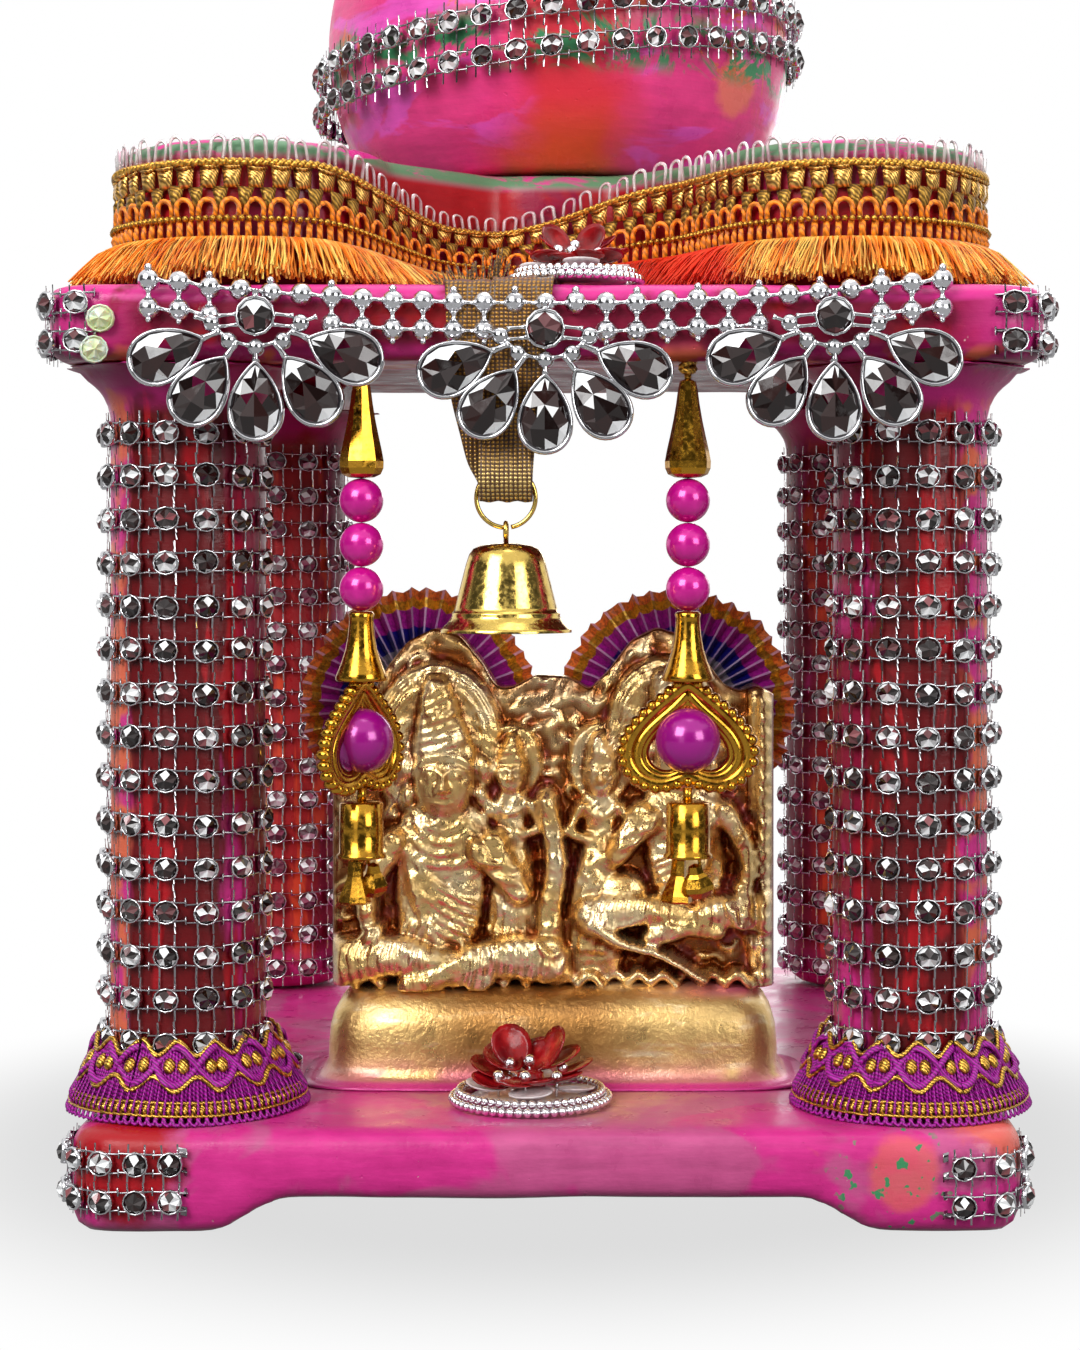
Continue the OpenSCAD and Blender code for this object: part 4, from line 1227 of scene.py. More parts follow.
class MANDIR_OT_nets(bpy.types.Operator):
    """Nets of stones round the pillars, on the corners and round the dome"""

    bl_idname = "mandir.nets"
    bl_label = "Stone Nets"

    def execute(self, context):
        net = context.scene.mandir_net
        look = net_look()
        radius = half_width("stone_net_rear_left") - net.sheet
        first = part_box("stone_net_rear_left")[0].z + net.upward * 0.5
        # Degrees without a net: inner rear quarter of a front pillar, rear seam of a rear one
        bare, gap = 96.0, 9.0
        turns = {
            "front_left": (45 + bare / 2, 360 - bare),
            "front_right": (135 + bare / 2, 360 - bare),
            "rear_left": (90 + gap / 2, 360 - gap),
            "rear_right": (90 + gap / 2, 360 - gap),
        }
        for i, (name, (start, sweep)) in enumerate(turns.items()):
            centre = middle("pillar_" + name)
            points = arc_path(centre, radius, start, sweep, first)
            stones = rear_net_look() if "rear" in name else look
            piece = net_strip("net_" + name, points, stones, rows=net.rows, seed=10 + i,
                              shift_jitter=0.25 * MM)
            settle(piece, "shrine", "silver_stones", "stone_net_" + name)
        self.corner_nets(look)
        self.dome_net(look)
        self.odd_stones(look)
        return {"FINISHED"}

    def corner_nets(self, look):
        """Patches round the front corners of the cornice and of the base."""
        glue = 0.15 * MM
        for left, side in ((True, "left"), (False, "right")):
            points = corner_path(
                CORNICE_LOW, CORNICE_HIGH, radius=0.009, x_reach=0.0105, y_reach=0.02,
                left=left, height=CORNICE_LOW.z + 0.0036, gap=glue)
            piece = net_strip("cornice_net_" + side, points, look, rows=2, upward=0.0066,
                              across=0.0062, seed=21)
            settle(piece, "shrine", "silver_stones", "cornice_patch_" + side)
            reach, height = (0.0225, 0.0066) if left else (0.0155, 0.0058)
            points = corner_path(
                BASE_LOW, BASE_HIGH, radius=0.011, x_reach=reach, y_reach=0.018, left=left,
                height=height, gap=glue)
            piece = net_strip("base_net_" + side, points, look, rows=2, upward=0.0066,
                              across=0.0064, seed=31)
            settle(piece, "shrine", "silver_stones", "base_patch_" + side)

    def odd_stones(self, look):
        """Two clouded stones on the cornice's left corner and one that fell to the floor."""
        clouded = clouded_look("Clouded Stones", (0.62, 0.68, 0.36), (0.72, 0.78, 0.68))
        front = CORNICE_LOW.y
        parts = []
        for i, (x, z) in enumerate(((-77.4, 159.4), (-78.8, 154.0))):
            stone = set_stone(5.0 * MM, 2.4 * MM, i + 3)
            parts.append(stone.at(x * MM, front, z * MM, turn=(90, 0, 20 * i)))
        add_piece("clouded_stones", joined(parts), clouded, "silver_stones")
        fallen = set_stone(3.8 * MM, 2.2 * MM, 9)
        fallen = fallen.at(-51.5 * MM, -28.0 * MM, FLOOR_Z, turn=(24, 8, 0))
        add_piece("fallen_stone", fallen, look, "silver_stones")

    def dome_net(self, look):
        """Net that leans up to the right round the foot of the dome."""
        centre = middle("dome_stone_band")
        radius = half_width("dome_stone_band") - 1.2 * MM
        ring = arc_path(centre, radius, 0, 360, 0.0, 120)[:-1]
        lean = math.tan(math.radians(7.0))
        upward = bpy.context.scene.mandir_net.upward
        ring[:, 2] = centre.z + ring[:, 0] * lean - upward / 2
        piece = net_strip("dome_net", ring, look, closed=True, rows=2, seed=41)
        settle(piece, "shrine", "silver_stones", "dome_stone_band")


# ---- Fringe round the upper tier ----

# Points of the line that the fringe follows
TIER_STEPS = 720


def nearest(points, x, y):
    """Number of the point that lies nearest to x, y."""
    return int(np.argmin(np.hypot(points[:, 0] - x, points[:, 1] - y)))


def tier_outline(offset):
    """Points round the four-lobed tier, anticlockwise and moved outwards.

    The tier is a drum with four arms that end in round lobes. The trim doesn't follow the
    recess at the front right, but is stretched straight over it.
    """
    lobe, drum, arm = 25.0 * MM, 38.0 * MM, 18.0 * MM
    lobe_x = TIER_HIGH.x - lobe
    points = []
    for a in np.arange(TIER_STEPS) * math.tau / TIER_STEPS:
        u = np.array((math.cos(a), math.sin(a)))
        reach = drum
        for sx in (-1, 1):
            for sy in (-1, 1):
                c = np.array((sx, sy)) * lobe_x
                along, across = u @ c, abs(u[0] * c[1] - u[1] * c[0])
                if along > 0 and across < lobe:
                    reach = max(reach, along + math.sqrt(lobe ** 2 - across ** 2))
                if along > 0:
                    limit = arm / max(across / np.hypot(*c), 1e-6)
                    reach = max(reach, min(limit, np.hypot(*c) ** 2 / along))
        points.append(u * reach)
    points = np.array(points)
    first = nearest(points, 1.0 * MM, -drum)
    last = nearest(points, 30.5 * MM, -56.0 * MM)
    share = np.linspace(0, 1, last - first + 1)[:, None]
    points[first:last + 1] = points[first] * (1 - share) + points[last] * share
    points = even_points(points, TIER_STEPS)
    for _ in range(14):
        points = (np.roll(points, 1, 0) + points * 2 + np.roll(points, -1, 0)) / 4
    ahead = np.roll(points, -1, 0) - np.roll(points, 1, 0)
    ahead /= np.linalg.norm(ahead, axis=1)[:, None]
    return points + np.column_stack([ahead[:, 1], -ahead[:, 0]]) * offset + middle("tier_fringe").xy


def even_points(points, steps):
    """The same closed line with its points at even distances."""
    closed = np.vstack([points, points[:1]])
    far = distances_along(closed)
    at = np.arange(steps) / steps * far[-1]
    return np.column_stack([np.interp(at, far, closed[:, i]) for i in range(points.shape[1])])


def sag_in_recess(mesh):
    """Lets the trim hang lower where it crosses the recess in front, nearer to the roof."""
    points = mesh_points(mesh)
    x = points[:, 0] / MM
    rising = np.clip((x + 42) / 24, 0, 1)
    falling = np.clip((24 - x) / 38, 0, 1)
    share = np.where(points[:, 1] < AXIS_Y, smooth_step(rising) * smooth_step(falling), 0.0)
    roof = CORNICE_HIGH.z
    points[:, 2] = roof + (points[:, 2] - roof) * (1 - 0.34 * share)
    put_points(mesh, points)


def smooth_step(share):
    """A share from 0 to 1, eased at both ends."""
    return share * share * (3 - 2 * share)


def tier_path(offset, height):
    """Line that a row of the fringe follows, an offset out from the tier's wall."""
    line = tier_outline(offset)
    return np.column_stack([line, np.full(len(line), height)])


def slab(width, height, depth, low_width=None, tint=0.0, steps=(3, 3)):
    """Small cushion-like plate, its lower edge at Y 0 and its back at Z 0."""
    low_width = width if low_width is None else low_width
    front = []
    for j in range(steps[1] + 1):
        v = j / steps[1]
        w = low_width + (width - low_width) * v
        for i in range(steps[0] + 1):
            u = i / steps[0] * 2 - 1
            edge = max(abs(u), abs(2 * v - 1)) ** 4
            front.append((u * w / 2, v * height, depth * (1 - 0.75 * edge)))
    columns = steps[0] + 1
    faces = []
    for j in range(steps[1]):
        for i in range(steps[0]):
            k = j * columns + i
            faces.append([k, k + 1, k + columns + 1, k + columns])
    around = (list(range(columns)) + [j * columns + columns - 1 for j in range(1, steps[1])]
              + list(range(columns * (steps[1] + 1) - 1, columns * steps[1] - 1, -1))
              + [j * columns for j in range(steps[1] - 1, 0, -1)])
    first = len(front)
    back = [(front[k][0], front[k][1], 0.0) for k in around]
    for n in range(len(around)):
        m = (n + 1) % len(around)
        faces.append([around[m], around[n], first + n, first + m])
    faces.append([first + n for n in range(len(around))][::-1])
    return Shape(front + back, faces, tint)


def arch(width, height, radius, sides=4, steps=7):
    """Upright loop of cord with open feet, in the plane of X and Y."""
    line = [(-width / 2, 0.0, 0.0)]
    for a in np.linspace(math.pi, 0, steps):
        line.append((width / 2 * math.cos(a), height - width / 2 + width / 2 * math.sin(a), 0.0))
    line.append((width / 2, 0.0, 0.0))
    return tube(line, radius, sides)


def silk_thread(length_down, sweep, bend, radius, tint, lean):
    """One thread that leaves the band and falls forwards; its top is at Y 0."""
    line = []
    for t in np.linspace(0, 1, 4):
        line.append((lean * t * t, -length_down * t ** 1.35, sweep * t ** 0.75 + bend * t * t))
    return tube(line, radius, 3, tint=tint, caps=False)


@shared_look
def silk_look(name, silk, deep, tip):
    """Shiny silk with painted shade on inner threads, in clumps, higher up and right of the roof
    flower, and painted highlights at some tips. Tint picks the thread.
    """
    look = Look(name, roughness=0.45, specular_ior_level=0.3, sheen_weight=0.12,
                sheen_roughness=0.35)
    chance = look.attribute("luck")
    x, y, z = look.axes(look.place())[:3]
    low = look.span(z, TIER_LOW.z + 0.001, TIER_LOW.z + 0.0085)
    # Painted highlights: some threads take the bright tip colour
    colour = look.mix(look.span(chance, 0.1, 0.9), silk, tip)
    # Painted shade on the inner threads
    inner = look.span(look.attribute("tint"), 0.2, 0.8)
    colour = look.mix(look.times(inner, 0.6), colour, deep)
    # Painted shade in random clumps
    tuft = look.noise(look.place(), 260.0, 2.0, 0.5)
    colour = look.mix(look.span(tuft, 0.5, 0.64, 0.0, 0.4), colour, deep)
    # Painted shade, a little deeper higher up towards the band
    colour = look.mix(look.times(low, 0.2), colour, deep)
    # Painted shade: threads right of the roof flower are deeper red
    stretch = look.between(x, 0.006, 0.014, 0.03, 0.038)
    stretch = look.times(stretch, look.span(y, 0.0, 0.01, 0.95, 0.0))
    look.wire(base_color=look.mix(stretch, colour, (0.78, 0.02, 0.004)))
    return look


class MANDIR_OT_fringe(bpy.types.Operator):
    """Loops, gold tabs, braids and silk threads round the upper tier"""

    bl_idname = "mandir.fringe"
    bl_label = "Tier Fringe"

    def execute(self, context):
        fringe = context.scene.mandir_fringe
        self.zari = tuple(fringe.zari)
        top = TIER_HIGH.z
        self.loops(fringe, top)
        self.tabs(fringe, top)
        self.bands(fringe, top)
        self.silk(fringe, top)
        return {"FINISHED"}

    def put(self, name, cell, look, pitch, offset, height, **values):
        piece = trim(name, tier_path(offset, height), cell, look, pitch, closed=True, **values)
        sag_in_recess(piece.data)
        return settle(piece, "shrine", "orange_fringe", "tier_fringe")

    def loops(self, fringe, top):
        cell = arch(fringe.loop * 0.6, 4.4 * MM, 0.36 * MM)
        self.put("fringe_loops", cell, clear_look(), fringe.loop, 0.9 * MM, top - 4.8 * MM,
                 turn_jitter=0.12, size_jitter=0.1, seed=3)
        bright = thread_look("Pale Gold Braid", toned(self.zari, 1.25), 2.2, 0.8, 0.75, 0.3)
        strand = [(-1.1 * MM, -0.35 * MM, 0.0), (-0.4 * MM, -0.3 * MM, 0.35 * MM),
                  (0.4 * MM, 0.3 * MM, 0.35 * MM), (1.1 * MM, 0.35 * MM, 0.0)]
        braid = tube(strand, [0.3 * MM, 0.52 * MM, 0.52 * MM, 0.3 * MM], 5)
        self.put("fringe_braid", braid, bright, 1.25 * MM, 1.2 * MM, top - 5.1 * MM)

    def tabs(self, fringe, top):
        pale = thread_look("Glitter Gold", toned(self.zari, 1.2, 0.05), 3.0, 1.0, 0.9, 0.28)
        dull = thread_look("Worn Gold Thread", toned(self.zari, 0.62), 2.4, 1.0, 0.7, 0.4)
        upper = joined([
            slab(fringe.tab * 0.82, 3.6 * MM, 0.9 * MM, fringe.tab * 0.62, steps=(4, 4)),
            tube([(-fringe.tab * 0.46, 3.9 * MM, 0.2 * MM), (0, 3.5 * MM, 0.9 * MM),
                  (fringe.tab * 0.46, 3.9 * MM, 0.2 * MM)], 0.35 * MM, 4),
        ])
        self.put("fringe_tabs_upper", upper, pale, fringe.tab, 1.0 * MM, top - 9.6 * MM,
                 turn_jitter=0.09, size_jitter=0.06, seed=5)
        lower = slab(fringe.tab * 0.74, 4.0 * MM, 0.8 * MM, fringe.tab * 0.34, steps=(4, 4))
        self.put("fringe_tabs_lower", lower, dull, fringe.tab, 0.9 * MM, top - 13.2 * MM,
                 start=0.0, turn_jitter=0.1, size_jitter=0.08, seed=6)

    def bands(self, fringe, top):
        orange = thread_look("Orange Cord", tuple(fringe.silk), 1.6, 0.7, 0.0, 0.5)
        dots = thread_look("Gold Bead Line", self.zari, 3.0, 0.8, 0.9, 0.3)
        cell = arch(fringe.tab * 0.72, 3.0 * MM, 0.5 * MM, sides=5)
        self.put("fringe_arches", cell, orange, fringe.tab, 1.3 * MM, top - 14.6 * MM,
                 turn_jitter=0.08, seed=7)
        bead = ball(0.7 * MM, 5, 4)
        for i, down in enumerate((15.1 * MM, 18.9 * MM)):
            self.put(f"fringe_bead_line_{i + 1}", bead, dots, 1.3 * MM, 1.7 * MM + i * 0.3 * MM,
                     top - down, size_jitter=0.12, seed=8 + i)
        upright = slab(1.15 * MM, 3.4 * MM, 0.9 * MM, steps=(2, 2))
        self.put("fringe_uprights", upright, orange, 2.15 * MM, 1.2 * MM, top - 18.7 * MM,
                 turn_jitter=0.06, size_jitter=0.08, seed=10)

    def silk(self, fringe, top):
        # Colour of the painted highlights at some thread tips
        tip = (1.0, 0.72, 0.15)
        silk = silk_look("Silk Fringe", tuple(fringe.silk), tuple(fringe.silk_shade), tip)
        # Name, length, reach forwards, bend, tint and offset from the tier's wall
        layers = [
            ("outer", 7.0 * MM, 4.4 * MM, 1.4 * MM, 0.0, 2.3 * MM),
            ("middle", 7.6 * MM, 2.9 * MM, 0.8 * MM, 0.3, 2.0 * MM),
            ("inner", 7.4 * MM, 1.2 * MM, 0.4 * MM, 1.0, 1.6 * MM),
        ]
        for i, (name, down, sweep, bend, tint, offset) in enumerate(layers):
            cell = joined([
                silk_thread(down, sweep, bend, 0.19 * MM, tint, 0.5 * MM),
                silk_thread(down * 0.93, sweep * 1.18, bend, 0.17 * MM, tint, -0.7 * MM)
                .at(x=fringe.thread * 0.5),
            ])
            self.put("silk_threads_" + name, cell, silk, fringe.thread, offset, top - 18.4 * MM,
                     turn_jitter=0.14, size_jitter=0.09, seed=20 + i)


# ---- Lace round the front feet ----


def lace_cell(lace, wave, rise):
    """Two ovals of interlaced cords with gold domes, gold edgings, a gold band and picots.

    Tint 0 is the purple cord, tint 1 the gold.
    """
    steps = np.linspace(-0.5, 0.5, 25)
    r = lace.cord / 2
    middle_z, swing = rise * 0.665, rise * 0.22
    band_z = rise * 0.17
    parts = []
    for side in (-1, 1):
        line = [(wave * t, middle_z + side * swing * math.cos(math.tau * t),
                 r + side * 0.6 * MM * math.sin(2 * math.tau * t)) for t in steps]
        parts.append(tube(line, r, 6, squash=0.75, caps=False))
        edge = [(wave * t, middle_z + side * (rise * 0.205 + rise * 0.085
                                              * math.cos(2 * math.tau * t)), 0.7 * MM)
                for t in steps]
        parts.append(tube(edge, [0.42 * MM, 0.5 * MM] * 12 + [0.42 * MM], 5, caps=False, tint=1.0))
    profile = [(1.35, 0.0), (1.3, 0.35), (0.8, 0.8), (0.1, 0.95)]
    dome = lathe([(r_mm * MM, z_mm * MM) for r_mm, z_mm in profile], 9, tint=1.0)
    for x in (-wave / 2, 0.0, wave / 2 - 1e-6):
        for side in (-1, 1):
            if abs(x + side * 1.5 * MM) < wave / 2:
                parts.append(dome.at(x + side * 1.5 * MM, middle_z, 0.3 * MM))
    squares = 12
    square = wave / squares
    for k in range(squares):
        x = (k + 0.5) * wave / squares - wave / 2
        parts.append(slab(square * 0.8, rise * 0.13, 0.7 * MM, tint=1.0, steps=(2, 2))
                     .at(x, band_z - rise * 0.065, 0.3 * MM))
        parts.append(arch(square * 0.85, 1.7 * MM, 0.3 * MM, steps=5)
                     .at(x, band_z - rise * 0.06, 0.4 * MM, turn=(180, 0, 0)))
        seam = x + square / 2
        parts.append(tube([(seam, band_z - rise * 0.07, 0.5 * MM), (seam, band_z, 1.0 * MM),
                           (seam, middle_z - rise * 0.2, 0.45 * MM)], 0.22 * MM, 4))
    for z in (band_z - rise * 0.075, band_z + rise * 0.075):
        parts.append(tube([(wave * t, z, 0.6 * MM) for t in steps[::3]], 0.3 * MM, 4, caps=False,
                          tint=1.0))
    # Plain net behind the cords
    for t in steps[:-1]:
        top = middle_z + rise * (0.2 + 0.08 * math.cos(2 * math.tau * t))
        parts.append(tube([(wave * t, band_z - rise * 0.06, 0.2 * MM), (wave * t, top, 0.2 * MM)],
                          0.42 * MM, 4, squash=0.5))
    return joined(parts)


@shared_look
def lace_look(name, purple, edging):
    """Purple cord where the tint is 0, metallic gold thread where it is 1."""
    look = Look(name, sheen_roughness=0.4, specular_ior_level=0.5)
    gold = look.above(look.attribute("tint"), 0.5)
    colour = look.mix(gold, purple, edging)
    out = look.group(thread_group(), color=colour, fineness=2.4, contrast=0.9)
    look.wire(base_color=out["Color"], metallic=look.times(gold, 0.9),
              roughness=look.minus(0.5, look.times(gold, 0.22)))
    return look.bump(out["Height"], 0.00014, 0.8)


class MANDIR_OT_lace(bpy.types.Operator):
    """Flared purple lace round the feet of the front pillars"""

    bl_idname = "mandir.lace"
    bl_label = "Foot Lace"

    def execute(self, context):
        lace = context.scene.mandir_lace
        look = lace_look("Purple Lace", tuple(lace.purple), tuple(lace.edging))
        for side, start in (("left", 60.0), ("right", 150.0)):
            node = "foot_lace_" + side
            low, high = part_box(node)
            outer = half_width(node) - 1.6 * MM
            centre = middle("pillar_front_" + side)
            rise = high.z - low.z
            points = arc_path(centre, outer, start, 330, low.z + 0.2 * MM, 120)
            columns, pitch = even_pitch(points, lace.wave)
            piece = trim("lace_" + side, points, lace_cell(lace, pitch, rise), look, pitch,
                         columns=columns, flare=-(6.3 * MM / rise), turn_jitter=0.02,
                         size_jitter=0.015, seed=51)
            settle(piece, "shrine", "purple_lace", node)
        return {"FINISHED"}


# ---- Bead garland and stone rosettes ----

GARLAND_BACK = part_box("bead_garland")[1].y
# Beads on each side of the middle one
SIDE_BEADS = 13
# How far the middle of the garland hangs below its ends, and how far out the ends are
SAG = 4.2 * MM
GARLAND_REACH = SIDE_BEADS * 5.3 * MM
# Direction that the rosettes' painted white reflections lean to, in degrees round from +X
LIGHT_WAY = 125


def bead_height(x):
    """Height of the upper beads at a place across the front."""
    return CORNICE_HIGH.z - 4.1 * MM + SAG * (x / GARLAND_REACH) ** 2


def mirror_bead(d):
    """Half bead with a small flange; it faces along Z."""
    r = d / 2
    profile = [(r * 0.99, 0.0), (r, r * 0.2), (r * 0.9, r * 0.5), (r * 0.66, r * 0.8),
               (r * 0.35, r * 0.97), (r * 0.02, r * 1.02)]
    return lathe(profile, 18, tint=-1.0)


def to_front(shape, x, back, z, spin=0.0):
    """Puts a shape that faces along Z on the front, turned in its own plane by degrees."""
    return shape.at(turn=(0, 0, spin)).at(x, back, z, turn=(90, 0, 0))


def neck(start, end, wide, slim):
    """Link that is wide at its ends."""
    start, end = np.array(start), np.array(end)
    path = [start + (end - start) * t for t in (0.0, 0.22, 0.5, 0.78, 1.0)]
    return tube(path, [wide, slim, slim * 0.85, slim, wide], 8, tint=-1.0)


def pear_outline(width, height, sides):
    """Points of a pear with its tip upwards, from the tip and clockwise."""
    angles = np.arange(sides) * math.tau / sides
    return [(0.61 * width * math.sin(a) * math.sin(a / 2) ** 0.7, height / 2 * math.cos(a))
            for a in angles]


def pear_stone(width, height, seed, turn):
    """Pear stone in its silver setting, tip upwards and facing along Z.

    It is going to be turned by the angle in degrees; its painted white reflections then lean to the
    upper left.
    """
    steps = [(0.0, 0.0), (0.0, 1.0), (0.18, 1.35), (0.42, 1.4), (0.6, 1.15), (0.95, 1.0)]
    rings = []
    for cut, up in steps:
        outline = pear_outline(width - 2 * cut * MM, height - 2.2 * cut * MM, 36)
        rings.append([(x, y, up * MM) for x, y in outline])
    rim = skin(rings[:5], caps=False, tint=-1.0)
    # The inner line's near-black tint is painted shade in the groove inside the rim
    line = skin(rings[4:], caps=False, tint=-2.0)
    cut = 0.85 * MM
    outline = pear_outline(width - 2 * cut, height - 2.2 * cut, 14)
    way = math.radians(LIGHT_WAY - turn)
    glass = kite_stone(outline, 1.5 * MM, ((0.0, height * 0.1), (0.0, -height * 0.2)), seed,
                       light=(math.cos(way), math.sin(way)))
    return joined([rim, line, glass.at(z=1.05 * MM)])


class MANDIR_OT_garland(bpy.types.Operator):
    """Double row of mirror beads and three rosettes of pear stones"""

    bl_idname = "mandir.garland"
    bl_label = "Garland and Rosettes"

    def execute(self, context):
        garland = context.scene.mandir_garland
        centres = {side: middle("stone_rosette_" + side).x for side in ("left", "centre", "right")}
        row = self.bead_rows(garland, list(centres.values()))
        add_piece("bead_garland_beads", row, silver_look(), "silver_beads", "bead_garland")
        for i, (side, x) in enumerate(centres.items()):
            node = "stone_rosette_" + side
            shape = self.rosette(garland, node, x, 11 * i + 3)
            add_piece("rosette_" + side, shape, net_look(), "silver_stones", node)
        return {"FINISHED"}

    def bead_rows(self, garland, centres):
        back = GARLAND_BACK
        rng = np.random.default_rng(4)
        bead = mirror_bead(garland.bead)
        knob = ball(0.75 * MM, 8, 6, tint=-1.0)
        mid = back - 0.8 * MM
        parts = []
        lower = lambda x: all(abs(x - c) > 8 * MM for c in centres)
        for i in range(-SIDE_BEADS, SIDE_BEADS + 1):
            x = i * garland.pitch
            z = bead_height(x) + rng.normal(0, 0.12) * MM
            tilt = rng.normal(0, 3)
            parts.append(to_front(bead, x, back, z, tilt))
            if i % 2:
                parts.append(knob.at(x, mid, z + garland.bead * 0.53))
            after = x + garland.pitch
            start, end = x + 1.5 * MM, after - 1.5 * MM
            if i < SIDE_BEADS:
                parts.append(neck((start, mid, z), (end, mid, bead_height(after)), 0.62 * MM,
                                  0.38 * MM))
            if not lower(x):
                continue
            down = z - garland.lower
            parts.append(to_front(bead, x, back, down, tilt))
            parts.append(knob.at(x, mid, down - garland.bead * 0.5, scale=0.8))
            parts.append(neck((x, mid, z - 1.6 * MM), (x, mid, down + 1.6 * MM), 0.95 * MM,
                              0.5 * MM))
            if i < SIDE_BEADS and lower(after):
                next_down = bead_height(after) - garland.lower
                parts.append(neck((start, mid, down), (end, mid, next_down), 0.62 * MM, 0.38 * MM))
        return joined(parts)

    def rosette(self, garland, node, x, seed):
        _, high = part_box(node)
        back = high.y
        z = high.z - 3.15 * MM
        mid = back - 0.7 * MM
        place = lambda dx, dz: (x + dx * MM, back, z + dz * MM)
        stone = set_stone(garland.stone, 3.0 * MM, seed)
        parts = [to_front(stone, x, back, z)]
        parts.append(neck((x, back - 0.9 * MM, z + 3.0 * MM), (x, back - 0.9 * MM, z + 4.6 * MM),
                          1.0 * MM, 0.6 * MM))
        small = mirror_bead(3.2 * MM)
        dots = [(-7.7, -1.2), (-4.7, -4.2), (0.0, -5.4), (4.7, -4.2), (7.7, -1.2)]
        for dx, dz in dots:
            parts.append(to_front(small, *place(dx, dz)))
        for (ax, az), (bx, bz) in zip(dots, dots[1:]):
            a, b = np.array(place(ax, az)), np.array(place(bx, bz))
            a[1] = b[1] = mid
            parts.append(neck(a + (b - a) * 0.25, b - (b - a) * 0.25, 0.6 * MM, 0.4 * MM))
        for side in (-1, 1):
            for dz in (0.35, -1.5):
                parts.append(neck((x + side * 3.0 * MM, mid, z + dz * MM),
                                  (x + side * 6.6 * MM, mid, z + (dz - 0.35) * MM),
                                  0.55 * MM, 0.36 * MM))
            outer = place(side * 7.7, -1.2)
            row = (x + side * 2 * garland.pitch, mid, bead_height(x) - garland.lower + 0.2 * MM)
            parts.append(neck((outer[0], mid, outer[2]), row, 0.55 * MM, 0.38 * MM))
        for i, (angle, reach) in enumerate(((-67, 16.7), (-36, 15.6), (0, 14.7), (36, 15.6),
                                            (67, 16.7))):
            pear = pear_stone(9.8 * MM, 14.2 * MM, seed + i, angle).at(turn=(0, 0, angle))
            a = math.radians(angle)
            out = lambda far, y: (x + far * MM * math.sin(a), y, z - far * MM * math.cos(a))
            parts.append(to_front(pear, *out(reach, back)))
            near = reach - 7.5
            parts.append(neck(out(near - 2.4, mid), out(near + 0.8, mid), 0.7 * MM, 0.6 * MM))
        return joined(parts)


# ---- Gilded relief ----

SEAT_LOW, SEAT_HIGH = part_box("relief_seat")
# Smoothing passes that the relief is compared with, to find its hollows
HOLLOW_PASSES = 22


def flat_curve(points, steps):
    """Smooth curve through points of x and z."""
    return smooth_line([(*p, 0) for p in points], steps)[:, :2]


